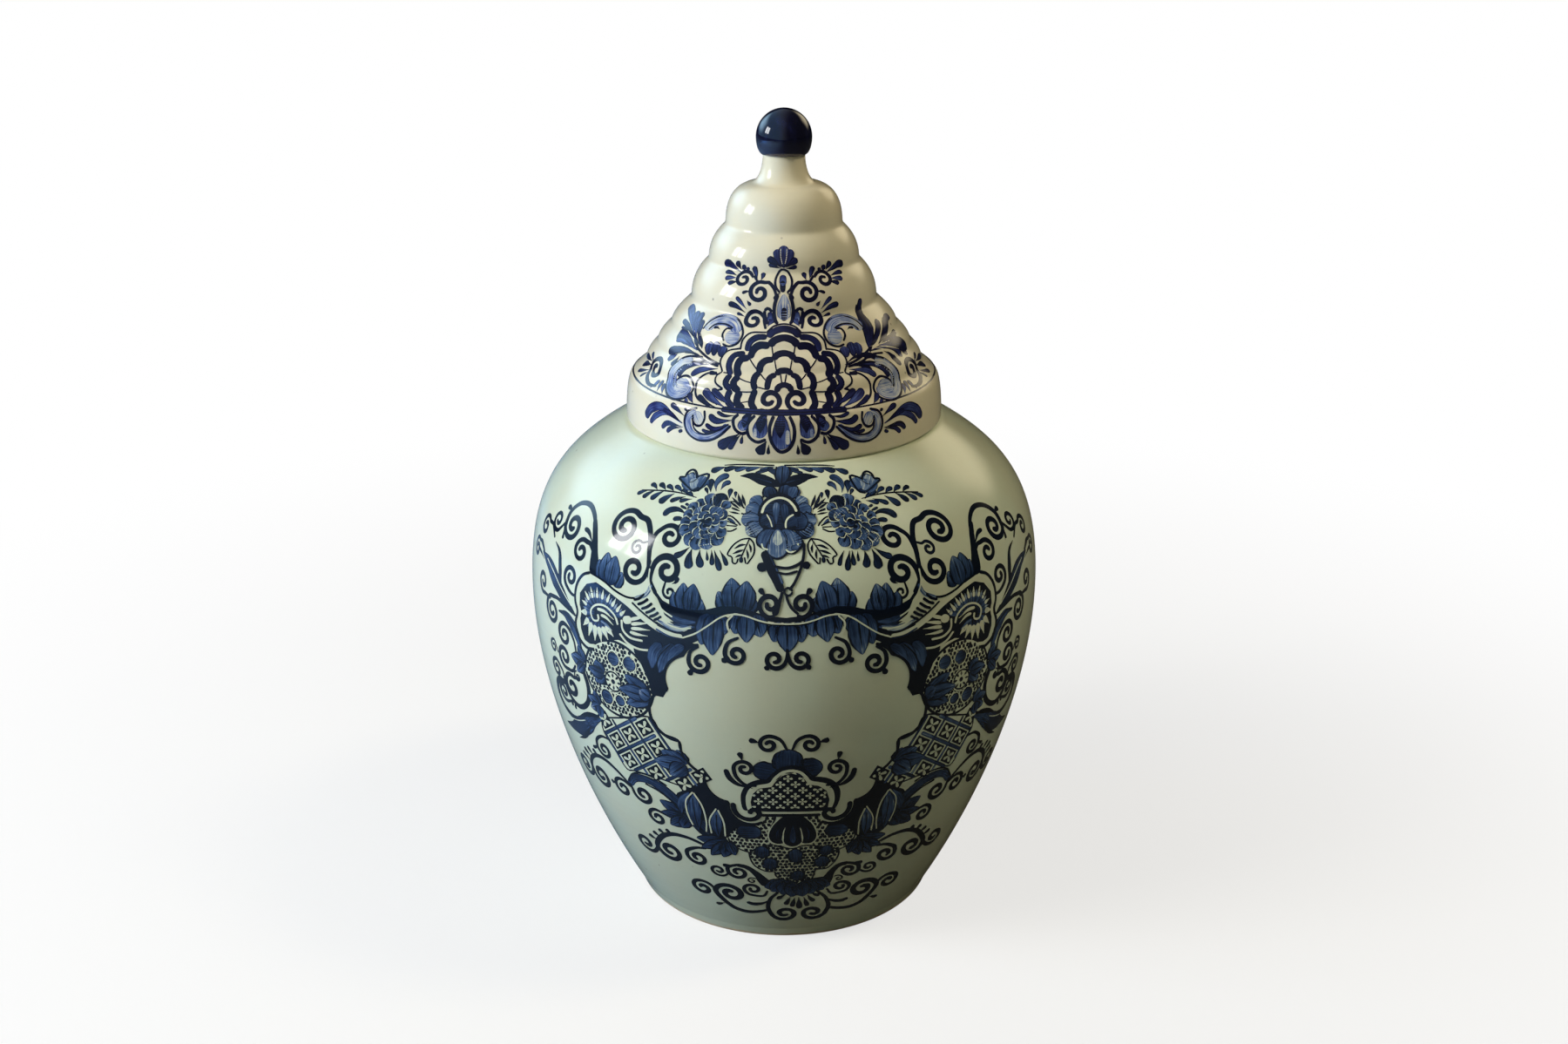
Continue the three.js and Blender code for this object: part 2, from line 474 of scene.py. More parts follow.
class Painting:
    """Collects brush strokes on a wall and lays them as thin closed shells that follow it.

    A stroke is a grid: rows lie along its middle line, columns across it. A point is the middle line plus the
    side direction times half the width times the column's share. Its edge columns dip into the glaze."""

    def __init__(self, wall, settings, lean, seed):
        self.wall = wall
        self.lift = settings.paint_lift * TO_MILLIMETRES
        self.lean = lean
        self.chance = np.random.default_rng(seed)
        self.grids = []
        self.layer = 0
        self.count = 0

    def mirrored(self, points):
        """The points on the other side of the painting's leaning middle line."""
        points = np.array(points, float).reshape(-1, 2)
        return np.stack([2 * self.lean(points[:, 1]) - points[:, 0], points[:, 1]], 1)

    def placed(self, points, side):
        """The points as they are, or mirrored on the other side."""
        return self.mirrored(points) if side else points

    def height(self):
        """Height of the next stroke over the glaze: each lies a little over the last ones."""
        self.count += 1
        return self.lift * (FIRST_LAYER + NEXT_LAYER * self.layer) + STROKE_RISE * self.count

    def add_grid(self, around, up, tone, across, along, half):
        """Adds a closed shell over a grid of places, with the paint's tone and the brush's coordinates."""
        rows, columns = around.shape
        height = np.full((rows, columns), self.height())
        height[:, [0, -1]] = -EDGE_DEPTH
        top, top_normal = self.wall.place(around, up, height)
        under, under_normal = self.wall.place(around[:, 1:-1], up[:, 1:-1], -EDGE_DEPTH)
        chance = self.chance.random()

        def looped(values):
            return np.concatenate([values, values[:, -2:0:-1]], axis=1)

        paint = np.stack([tone, along, np.full_like(tone, chance)], -1)
        brush = np.stack([across, along, half], -1)
        side, ahead = top[:-1, 1:] - top[:-1, :-1], top[1:, :-1] - top[:-1, :-1]
        outward = np.einsum("ijk,ijk->", np.cross(side, ahead), top_normal[:-1, :-1]) > 0
        self.grids.append((
            np.concatenate([top, under[:, ::-1]], axis=1),
            np.concatenate([top_normal, under_normal[:, ::-1]], axis=1),
            looped(paint),
            looped(brush),
            columns,
            outward,
        ))

    def stroke(self, brush, mix, width, points, smooth=True):
        """Lays a stroke of the named brush and mix along the points."""
        path = flowing(points) if smooth else np.array(points, float).reshape(-1, 2)
        path = without_repeats(path)
        if brush == "blob":
            ahead = (path[-1] - path[0]) / np.hypot(*(path[-1] - path[0])) * width * BLOB_REACH
            path = np.vstack([path[0] - ahead, path, path[-1] + ahead])
        scale = self.wall.radius(path[:, 1]) / self.wall.ring
        mid_scale = 0.5 * (scale[1:] + scale[:-1])
        step = np.diff(path, axis=0) * np.stack([mid_scale, np.ones_like(mid_scale)], 1)
        walked = np.r_[0, np.cumsum(np.hypot(step[:, 0], step[:, 1]))]
        total = walked[-1]
        shape = np.array(BRUSHES[brush]) * width / 2
        cap = min(CAP_LENGTH * total, CAP_WIDTH * width / 2)
        at = np.linspace(0, total, int(np.clip(total / ROW_STEP, *ROW_COUNTS)) + 1)
        ends = cap * np.array(CAP_ROWS)
        at = np.unique(np.concatenate([at, ends, total - ends]))
        share = at / total
        half = np.interp(share, np.linspace(0, 1, len(shape)), shape)
        for gap, size in ((at, shape[0]), (total - at, shape[-1])):
            reach = max(min(cap, size), CAP_LEAST)
            half = half * np.sqrt(np.clip(1 - (1 - np.clip(gap / reach, 0.002, 1)) ** 2, 0, 1))
        starts = 3 * self.chance.normal(0, 1, 3)
        slow, quick = (size * np.sin(share * speed + start) for (size, speed), start in zip(WAVERS, starts))
        half = np.maximum(half * (1 + slow + quick), LEAST_HALF_WIDTH)

        def reached(distance):
            return np.stack([np.interp(distance, walked, path[:, k]) for k in (0, 1)], 1)

        middle, here = reached(at), np.interp(at, walked, scale)
        run = reached(np.minimum(at + LOOK_AHEAD, total)) - reached(np.maximum(at - LOOK_AHEAD, 0))
        run = run * np.stack([here, np.ones_like(here)], 1)
        run /= np.maximum(np.hypot(run[:, 0], run[:, 1]), 1e-9)[:, None]
        columns = next(count for limit, count in COLUMNS if width < limit)
        across = np.linspace(-1, 1, columns) * (1 - min(RIM_SHARE, RIM / (width / 2)))
        across = np.r_[-1, across, 1]
        offset = half[:, None] * across
        flat = 0 * offset
        around = middle[:, :1] - run[:, 1:] * offset / here[:, None]
        up = middle[:, 1:] + run[:, :1] * offset
        first, last = MIXES[mix]
        tone = (first + (last - first) * share)[:, None] + flat
        self.add_grid(around, up, tone, across + flat, at[:, None] + flat, half[:, None] + flat)

    def patch(self, one_edge, other_edge, rows, columns):
        """Fills the ground between two edges with ink: column share v mixes them, (1 - v) * one + v * other.
        A row that is near a corner of an edge goes through it."""
        edges = [np.array(edge, float).reshape(-1, 2) for edge in (one_edge, other_edge)]
        ends = []
        for edge in edges:
            corners = lengths(edge) / lengths(edge)[-1]
            at = np.linspace(0, 1, rows)
            nearest = np.abs(at[:, None] - corners[None, :]).argmin(1)
            close = np.abs(at - corners[nearest]) < 0.25 / rows
            at = np.where(close, corners[nearest], at)
            ends.append(np.stack([np.interp(at, corners, edge[:, k]) for k in (0, 1)], 1))
        share = np.r_[0, np.linspace(0.01, 0.99, columns), 1]
        around, up = (ends[0][:, k:k + 1] * (1 - share) + ends[1][:, k:k + 1] * share for k in (0, 1))
        flat = 0 * around
        down = np.linspace(0, 1, rows)[:, None] + flat
        half = np.hypot(around[:, -1:] - around[:, :1], up[:, -1:] - up[:, :1]) / 2 + flat
        tone = MIXES["ink"][0] + flat
        self.add_grid(around, up, tone, 2 * share - 1 + flat, down * lengths(edges[0])[-1], half)

    def patches(self, one, other, rows, columns):
        """Fills the ground between two edges with ink on both sides."""
        for side in sides(True):
            self.patch(self.placed(one, side), self.placed(other, side), rows, columns)

    def draw(self, rows, both=True):
        """Lays listed strokes, and their mirror images where both sides have them. A row is brush, mix,
        width and points. A curl or a ring has centre, radius, start angle and turns, and a curl its tail."""
        for side in sides(both):
            for brush, mix, width, *numbers in rows:
                if brush == "curl":
                    x, up, radius, start, turns, *tail = numbers
                    width = min(width, CURL_WIDEST * radius)
                    turns = math.copysign(min(abs(turns), CURL_ROOM * radius / width), turns)
                    points = curl_points(self.wall, (x, up), radius, start, turns, tail)
                    brush = "vine"
                elif brush == "ring":
                    x, up, radius, start, turns = numbers
                    turn = np.radians(start + 360 * turns * np.linspace(0, 1, RING_POINTS))
                    wide = self.wall.ring / self.wall.radius(up)
                    points = np.stack([x + radius * wide * np.cos(turn), up + radius * np.sin(turn)], 1)
                    brush = "line"
                else:
                    points = np.array(numbers, float).reshape(-1, 2)
                if side:
                    points = self.mirrored(points) + self.chance.normal(0, OTHER_SIDE_MISS, 2)
                self.stroke(brush, mix, width, points)

    def fan(self, text, both=True):
        """Leaves of several fat strokes, written one leaf to a line: mix, spread, base, then x, up and width
        of each tip. The strokes stand apart at the base by the spread. x counts as in the tables."""
        way = LEFT if both else RIGHT
        for line in text.strip().splitlines():
            mix, *words = line.split()
            spread, x0, up0, *tips = map(float, words)
            x0 *= way
            for side in sides(both):
                for x, up, width in np.reshape(tips, (-1, 3)) * (way, 1, 1):
                    root = np.array([x0 + spread * (x - x0), up0])
                    middle = 0.5 * (root + (x, up)) + self.chance.normal(0, LEAF_MISS, 2)
                    points = np.array([root, middle, (x, up)])
                    if side:
                        points = self.mirrored(points)
                        root = points[0]
                    self.stroke("lobe", "ink", width * LEAF_FATNESS + LEAF_OUTLINE, points)
                    self.stroke("lobe", mix, width * LEAF_FATNESS, points)
                    vein = np.array([root, 0.15 * root + 0.85 * points[-1]])
                    self.stroke("leaf", "deep", 0.5 + 0.07 * width, vein)

    def dab(self, place, size, slant):
        """Lays a short square touch: the grid (s, t) goes to (s sqrt(1 - t t / 3), t sqrt(1 - s s / 3))."""
        s, t = np.meshgrid([-1.0, -0.5, 0.5, 1.0], [-1.0, -0.5, 0.5, 1.0])
        x = s * np.sqrt(1 - t ** 2 / 3) * size * DAB_HALF_WIDTH
        y = t * np.sqrt(1 - s ** 2 / 3) * size * DAB_HALF_HEIGHT
        stretch = self.wall.ring / self.wall.radius(place[1])
        around = place[0] + (x * math.cos(slant) - y * math.sin(slant)) * stretch
        up = place[1] + x * math.sin(slant) + y * math.cos(slant)
        tone = np.full((4, 4), np.mean(MIXES["ink"]))
        self.count -= 1
        self.add_grid(around, up, tone, DAB_EDGE * s, t * size / 2, np.full((4, 4), size))

    def petal(self, mix, width, points):
        """Lays a petal over a wider bare one, so that a gap parts it from what lies under it."""
        for layer, more in (("bare", 1.2), ("ink", 0.5), (mix, -0.2)):
            self.stroke("petal", layer, width + more, points)

    def dots(self, outline, spacing, size, both=True):
        """Stipples the inside of an outline with short square touches on a shaken grid of staggered rows."""
        low, high = outline.min(0), outline.max(0)
        ys = np.arange(low[1], high[1], spacing * DOT_ROWS)
        xs = np.arange(low[0], high[0], spacing)
        grid_x, grid_y = np.meshgrid(xs, ys)
        grid_x = grid_x + (np.arange(len(ys)) % 2)[:, None] * spacing / 2
        places = np.stack([grid_x.ravel(), grid_y.ravel()], 1)
        places = places + self.chance.normal(0, DOT_MISS * spacing, places.shape)
        places = places[inside(places, outline)]
        for side in sides(both):
            for place, slant in zip(places, self.chance.uniform(-DAB_SLANT, DAB_SLANT, len(places))):
                where = self.mirrored(place)[0] if side else place
                self.dab(where, size, slant)

    def clipped(self, mix, width, start, end, outline):
        """Straight line on both sides, laid only where it runs inside the outline."""
        line = np.linspace(start, end, CLIP_POINTS)
        within = inside(line, outline)
        edges = np.flatnonzero(np.diff(np.r_[0, within.astype(int), 0]))
        for first, last in zip(edges[::2], edges[1::2]):
            if last - first < CLIP_STEP:
                continue
            run = line[first:last:CLIP_STEP]
            for side in sides(True):
                self.stroke("line", mix, width, self.placed(run, side), smooth=False)

    def piece(self, name, finish, body):
        """Makes one mesh of what was laid since the last call, with the finish, riding on the body."""
        quads, triangles = [], []
        base = 0
        for place, *_, columns, outward in self.grids:
            rows, loop = place.shape[:2]
            index = base + np.arange(rows * loop).reshape(rows, loop)
            turn = np.roll(index, -1, axis=1)
            shell = [np.stack([index[:-1], turn[:-1], turn[1:], index[1:]], -1).reshape(-1, 4)]
            corners = []
            j = np.arange(1, columns - 2)
            for row, flip in ((index[0], True), (index[-1], False)):
                cap = np.stack([row[j], row[j + 1], row[loop - 1 - j], row[loop - j]], -1)
                ends = row[[(0, 1, loop - 1), (columns - 2, columns - 1, columns)]]
                shell.append(cap[:, ::-1] if flip else cap)
                corners.append(ends[:, ::-1] if flip else ends)
            quads += shell if outward else [faces[:, ::-1] for faces in shell]
            triangles += corners if outward else [faces[:, ::-1] for faces in corners]
            base += rows * loop
        points, normals, paint, brush = (
            np.vstack([grid[k].reshape(-1, 3) for grid in self.grids]) for k in range(4)
        )
        self.grids = []
        self.layer = 0
        self.count = 0
        layers = {"paint": paint, "brush": brush}
        result = make_mesh(name, finish, points, np.vstack(quads), np.vstack(triangles), normals, layers)
        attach(result, body)


# Finishes

class Sock:
    """A node's output, on which Python's operators add Math nodes."""

    def __init__(self, finish, socket):
        self.finish = finish
        self.socket = socket

    def math(self, operation, *values, clamp=False):
        """A Math node on this value and others."""
        settings = {"operation": operation, "use_clamp": clamp}
        return self.finish.node("Math", settings, dict(enumerate((self, *values))))

    def __add__(self, other):
        return self.math("ADD", other)

    __radd__ = __add__

    def __sub__(self, other):
        return self.math("SUBTRACT", other)

    def __rsub__(self, other):
        return self.finish.node("Math", {"operation": "SUBTRACT"}, {0: other, 1: self})

    def __mul__(self, other):
        return self.math("MULTIPLY", other)

    __rmul__ = __mul__

    def step(self, low, high):
        """Smooth step from 0 at low to 1 at high."""
        return self.finish.node(
            "MapRange", {"interpolation_type": "SMOOTHSTEP"}, {0: self, 1: low, 2: high, 3: 0.0, 4: 1.0},
        )


class Nodes:
    """A node tree whose nodes are written as expressions."""

    def __init__(self, tree):
        self.tree = tree

    def plug(self, socket, value):
        """Links an output to a socket, or sets the socket's own value."""
        if isinstance(value, Sock):
            self.tree.links.new(value.socket, socket)
        else:
            if isinstance(value, (tuple, list)) and socket.type == "RGBA":
                value = (*value[:3], 1)
            socket.default_value = value

    def node(self, kind, settings=None, values=None, output=0):
        """A node of a type, with its settings, then the values or links of its sockets."""
        node = self.tree.nodes.new("ShaderNode" + kind)
        for key, value in (settings or {}).items():
            if key == "stops":
                ramp = node.color_ramp.elements
                while len(ramp) < len(value):
                    ramp.new(0.5)
                for element, (at, colour) in zip(ramp, value):
                    element.position = at
                    element.color = (*colour[:3], 1)
            else:
                setattr(node, key, value)
        for key, value in (values or {}).items():
            self.plug(node.inputs[key], value)
        return Sock(self, node.outputs[output])

    def noise(self, place, scale, detail=2.0, roughness=0.5):
        """Noise of a scale a metre, from 0 to 1."""
        values = {"Vector": place, "Scale": scale, "Detail": detail, "Roughness": roughness}
        return self.node("TexNoise", {}, values)

    def stretched(self, place, scale):
        """The place with each axis scaled."""
        return self.node("Mapping", {}, {"Vector": place, "Scale": scale})

    def blend(self, factor, first, second):
        """Mixes two colours."""
        return self.node("Mix", {"data_type": "RGBA"}, {0: factor, 6: first, 7: second}, 2)

    def part(self, vector, axis):
        """One axis of a vector."""
        return self.node("SeparateXYZ", {}, {0: vector}, axis)

    def attribute(self, name):
        """A layer of the mesh."""
        return self.node("Attribute", {"attribute_name": name}, {}, "Vector")


class Finish(Nodes):
    """A material that reads the piece's own coordinates."""

    def __init__(self, name, view_colour):
        self.material = bpy.data.materials.new(name)
        self.material.use_nodes = True
        self.material.diffuse_color = (*view_colour, 1)
        super().__init__(self.material.node_tree)
        self.shader = self.tree.nodes["Principled BSDF"]
        self.place = self.node("TexCoord", output="Object")

    def give(self, **sockets):
        """Sets or links the shader's sockets, with spaces written as underscores."""
        for key, value in sockets.items():
            self.plug(self.shader.inputs[key.replace("_", " ")], value)

    def bump(self, height, distance, strength=1.0):
        """Normal bent by a height."""
        values = {"Height": height, "Distance": distance, "Strength": strength}
        self.give(Normal=self.node("Bump", {}, values, "Normal"))


IRON = (0.10, 0.075, 0.045)


def shade(colour, factor):
    """The colour with its brightness scaled."""
    return tuple(min(1.0, channel * factor) for channel in colour[:3])


def glaze_colour(f, colour, warm, painted_low_shade=0.0):
    """Tin glaze: broad clouds between a cool and a warm tint, fine mottling, sparse specks of iron, and
    painted shade low down where asked.
    """
    height = f.part(f.place, "Z")
    clouds = f.noise(f.place, 14, 3, 0.55).step(0.32, 0.68)
    base = f.blend(clouds, shade(colour, 1.03), warm)
    mottle = f.noise(f.place, 210, 3, 0.6)
    base = f.blend((mottle - 0.5).math("ABSOLUTE") * 0.35, base, shade(colour, 0.82))
    # Painted shade: the glaze grows darker over the lowest 13 cm, under the belly, where shade falls
    if painted_low_shade:
        base = f.blend((1 - height.step(0.0, 0.13)) * painted_low_shade, base, shade(colour, 0.72))
    cells = f.node("TexVoronoi", {"feature": "F1"}, {"Vector": f.place, "Scale": 150, "Randomness": 1.0})
    rare = f.noise(f.place, 60, 0).step(0.60, 0.66)
    speck = (1 - cells.step(0.05, 0.11)) * rare
    return f.blend(speck * 0.55, base, IRON)


def glaze_surface(f):
    """Glassy coat over faint throwing rings, slow dents and the fine orange peel of a tin glaze."""
    rings = f.noise(f.stretched(f.place, (3, 3, 150)), 1.0, 2, 0.5)
    dents = f.noise(f.place, 22, 1)
    peel = f.noise(f.place, 420, 2)
    f.bump(rings * 0.30 + dents * 1.2 + peel * 0.035, 0.0011, 0.55)
    smudge = f.noise(f.place, 30, 3)
    f.give(
        Roughness=0.07 + smudge.step(0.3, 0.8) * 0.06,
        Specular_IOR_Level=0.5,
        IOR=1.52,
        Coat_Weight=0.15,
        Coat_Roughness=0.03,
    )


def glaze_finish(name, colour, warm, painted_low_shade=0.0):
    """Plain glaze of the jar or the lid, darkened towards the bottom by painted shade where asked."""
    f = Finish(name, colour)
    f.give(Base_Color=glaze_colour(f, colour, warm, painted_low_shade))
    glaze_surface(f)
    return f.material


def foot_finish(name, colour, warm, clay):
    """Glaze, painted darker as shade, that stops in a wandering line over a bare clay edge, which is gritty
    and matt.
    """
    f = Finish(name, clay)
    height = f.part(f.place, "Z")
    edge = (height + f.noise(f.place, 90, 2) * 0.0016).step(0.0020, 0.0026)
    grit = f.noise(f.place, 900, 4, 0.7)
    body = f.blend(grit, shade(clay, 0.72), shade(clay, 1.12))
    # Painted shade: the glaze on the foot is a darker copy of the wall's glaze, next to the floor
    f.give(
        Base_Color=f.blend(edge, body, glaze_colour(f, shade(colour, 0.85), warm)),
        Roughness=0.85 - edge * 0.75,
        Coat_Weight=edge * 0.3,
    )
    f.bump(grit * (1 - edge), 0.0004, 0.5)
    return f.material


def cobalt_finish(name, colour, warm, inks):
    """Brushed cobalt under the glaze. The tone of each stroke is shaken by streaks along the brush, pools at
    its edges and clouds, and a ramp turns it from bare glaze through pale and mid blue into near black."""
    f = Finish(name, inks[2])
    paint, brush = f.attribute("paint"), f.attribute("brush")
    tone, chance = f.part(paint, "X"), f.part(paint, "Z")
    across, along, half = (f.part(brush, axis) for axis in "XYZ")
    painted = tone.step(0.02, 0.08)
    hairs = f.node("CombineXYZ", {}, {0: across * half * 2.3, 1: along * 0.10, 2: chance * 37})
    streak = f.noise(hairs, 1.0, 3, 0.6) - 0.5
    wet = f.node("CombineXYZ", {}, {0: across * 0.4, 1: along * 0.22, 2: chance * 53})
    loads = f.noise(wet, 1.0, 1) - 0.5
    rim = 1 - ((1 - across.math("ABSOLUTE")) * half).step(0.10, 0.55)
    thin = 1 - tone.step(0.80, 0.95)
    shaken = streak * 1.05 + loads * 0.40 + (chance - 0.5) * 0.12
    density = tone + shaken * (thin * 0.6 + 0.15) + rim * tone * 0.5
    density = (density - 0.02 * (1 - painted)).math("MULTIPLY", 1.0, clamp=True)
    pale, mid, deep, ink = inks
    hue = f.node("ValToRGB", {"stops": (
        (0.0, shade(pale, 1.35)), (0.22, pale), (0.44, mid), (0.68, deep), (0.93, ink),
    )}, {0: density})
    cover = painted * density.step(0.0, 0.22) * 0.22 + painted * density.step(0.10, 0.42) * 0.78
    f.give(Base_Color=f.blend(cover, glaze_colour(f, colour, warm), hue))
    glaze_surface(f)
    return f.material


def knob_finish(name, inks):
    """Knob dipped in cobalt: near black where it lies thick, bluer and streaked where it has run thin."""
    f = Finish(name, inks[3])
    height = f.part(f.place, "Z")
    runs = f.noise(f.stretched(f.place, (260, 260, 45)), 1.0, 3, 0.6)
    thin = (1 - height.step(0.3268, 0.3315)) * 0.3 + runs.step(0.52, 0.8) * 0.35
    f.give(
        Base_Color=f.blend(thin, shade(inks[3], 0.7), inks[2]),
        Roughness=0.06 + f.noise(f.place, 120, 2) * 0.05,
        Coat_Weight=0.6,
        Coat_Roughness=0.03,
    )
    f.bump(f.noise(f.place, 60, 1), 0.0009, 0.35)
    return f.material


# Drawing of the jar: millimetres round the belly from the middle, and millimetres up the outline from the
# foot. Strokes that both sides have are listed once, and there the millimetres count to the left. All other
# strokes and edges count to the right.

# Where the middle line of the jar's painting lies at a height: it wanders to the right on its way down
LEAN_HEIGHTS = (18, 35, 55, 95, 130, 160, 190, 218, 240)
LEANS = (9.2, 7.5, 4.0, 3.3, 1.8, 1.4, 0.2, -2.8, -3.0)
LID_LEAN = -0.3


def jar_lean(up):
    """The middle line of the jar's painting."""
    return np.interp(up, LEAN_HEIGHTS, LEANS)


def lid_lean(up):
    """The middle line of the lid's painting, which is upright."""
    return LID_LEAN + 0 * up


TOP_GARLAND = strokes("""
comma dusk 3.2 44.6 235.8 41 237.6 36 239.2
3 37 237.2 33 238.8 27 240.2
wash 2.8 30.4 237.8 26 239.2 20 240.4
2.4 23.6 238.2 19 239.6 13 240.6
dusk 2 17.4 237.2 12 238.6 5 240
vine deep .9 38 239.9 30 240.9 18 241.5 6 241.5
comma wash 1.7 15 239 10 240.2 4.5 240.9
leaf ink 5.4 26 235.3 19 235.7 11 233.7 4 231.9 .5 231
line wash .6 21 235.3 14 234.3 7 232.8
comma dusk 2.6 10 240.6 7 238.4 3.5 235.2
""")
TOP_GARLAND_MIDDLE = strokes("""
petal dusk 7.4 -1.4 231.8 -1 237 -.6 241.4
line ink .9 -1.6 231 -4.6 234.6 -5.2 238.2 -4.6 240.8
.9 -1.4 231 2.4 234.6 3.6 238.2 3.2 240.8
.6 -1.4 232.4 -1.2 236.5 -.8 240.8
""", RIGHT)

SPRIGS = strokes("""
vine deep .8 46 222.6 55 223.4 64 223 72 221.8 79 220.4
comma dusk 2.3 66 225.6 63 225 60 223.4
2.2 61.2 226.2 58 225.4 55 223.6
2 56 225.4 53 224.4 50.5 223
2 52 224.4 49.5 223.6 47.5 222.4
2.4 71 225.6 68 224.8 65 223.2
2.2 76 224.4 73 224 70 222.4
3.4 64.8 217 62.5 219.8 59 222.6
2.4 59.4 218.8 56 220.6 52 222.2
2.1 54.4 219.6 51.5 220.7 48 221.6
2.8 70.6 217.6 68.4 220.4 65.5 222.8
2.5 75.6 217.4 73.8 219.8 71 221.8
2.2 80.2 218.2 78 219.8 75 221
deep 3.1 59.2 212.2 57.2 215 52.5 216 47 214.2
2.2 53.6 211.6 50.5 212.3 45.5 211.8
1.5 49.6 209.5 47.5 209.7 44.5 210.2
dusk 3.2 42.2 232.4 41.6 229.8 39.6 226
wash 3.4 32.6 235.2 36.6 233.6 38.3 230.2 36.8 226.6
2.7 30.2 231.8 33.2 230.9 34.6 227.6
dusk 1.6 43.6 227.9 42 226.4 40.4 224.6
2.2 29.2 228.8 29 226.6 28.6 224
1.5 26.2 227.6 25.8 226.2 25.4 224.4
deep 3.9 40 193.2 40.8 197 40.2 201.2
3.3 34.6 194.3 36.2 197.4 36.6 201.2
2.6 26.6 193.8 28 197.2 30.2 201.6
1.9 23.8 196 25.4 198.8 27.8 201.8
2.1 30.2 195.6 30.6 198.2 31.4 201.6
1.3 32.5 197.2 32.9 199 33.6 201.2
2.7 47.8 197 44.6 198.6 41.4 201.6
dusk 1.3 52.5 217.8 50 217.2 46.5 216.2
1.3 50.5 219.2 48.6 218.6 46.5 217.8
""")

# Long fern strokes and veins between the peonies and the middle flower
FERNS = strokes("""
vine deep .7 29 222.4 24 222.6 19.5 220
leaf 1.4 24.6 226.8 23 223.8 20.4 220.8
1.3 22.4 226.6 21 223.8 19.2 221
1.2 27.4 224.8 24.6 222.8 21.6 220.4
1.1 28 222.6 25.2 221.3 22 219.6
1.1 27.8 220.2 25 219.6 21.6 218.6
1 27 218 24.4 217.8 21.4 217.4
line .7 29 215.8 25.6 216.2 21.8 214 20.2 212.4
.7 27.4 209.8 24.2 209.8 21.6 211.2
.6 27.6 214 24.6 213.4 21.4 212.4
.6 26.8 212 24.4 212 21.8 212
leaf wash 1.3 28.8 215.2 26 214.8 22.6 213.2
line ink .7 15.2 207.4 19 206.6 22.4 204 24.2 200.4 22.2 199.6 21.6 197.4 20 197.2 19.4 199.2
.7 15.2 207.4 13.2 205.2 12.8 201.6 14.6 198.4 15.8 197.2 16.8 199.8
.6 15.2 207.6 16.8 203.4 18.6 198.4
leaf deep 1.1 16.2 204.8 19 204.4 21.6 202.8
1.1 16.8 202.8 19.4 202 22 200.8
1 17.2 200.8 19.4 200.2 20.8 199.4
1 15.4 205.4 14.4 203.4 14.2 201.6
1 16.2 203 15.4 200.8 15.2 199
blob 1.6 18.2 199.2 18 198.2
""")

# Pale flower over the sprig, its petals filled and then outlined
OPEN_FLOWER = strokes("""
leaf tint 5 60.8 230.2 57.6 229.6 53 227.2 48.6 225.6
petal 6.4 49.2 226.2 53.4 230.2 56.4 233.4
6.8 48.4 225.8 47.6 229.6 46.4 233
pale 4.4 49 225.8 51.4 229 51.6 231.6
comma dusk 2.4 46.4 227 48.2 226.2 50.6 226
line deep 1 49.8 225.2 54 226.8 58.2 228.6 61.8 230.2 60.2 231 58.2 231
1.1 58.2 231 58.6 233.4 57 235.2 54.4 235 51.6 232.6 51.2 231.4
1.1 51.2 232 49 233.4 45.6 234.5 44.6 232.8 45.2 229.2 46.6 226.4 49.8 225.2
.5 57.6 232.4 55.2 234 53.2 232.8
.5 50.6 231.4 52.4 229.4 54.6 228.8
""")

# Petals of the peony, the outer ones first, each with its width and its tip
PEONY_CENTRE = (-37.0, 212.4)
PEONY_PETALS = strokes("""
petal dusk 4.6 43.8 222.4
wash 5.4 38.6 225.6
deep 6.2 32 225.8
wash 4.2 27.6 222
4.6 47.6 219.6
4.4 49.2 215.4
4.6 48.8 211.2
5.4 47.6 206.6
5.8 43.8 202.4
5.6 38.6 200.8
6 33.2 201.4
5.4 27.8 203.4
4.6 26.6 208.2
4.2 26.2 213.4
dusk 5.4 27.2 218
wash 5.6 42.6 218.6
dusk 5.8 37 220.8
wash 6.2 31.4 219.4
5 44.6 213.4
dusk 5.4 43.6 208.4
wash 5.4 39.4 205.4
dusk 5.8 33.8 205.8
wash 5.2 30.4 210
5 30.6 214.6
4.4 40.2 215.6
dusk 4.4 35.2 216.4
wash 4.2 40.6 210.6
4.2 36.2 208.8
dusk 4 33.6 212.6
""")

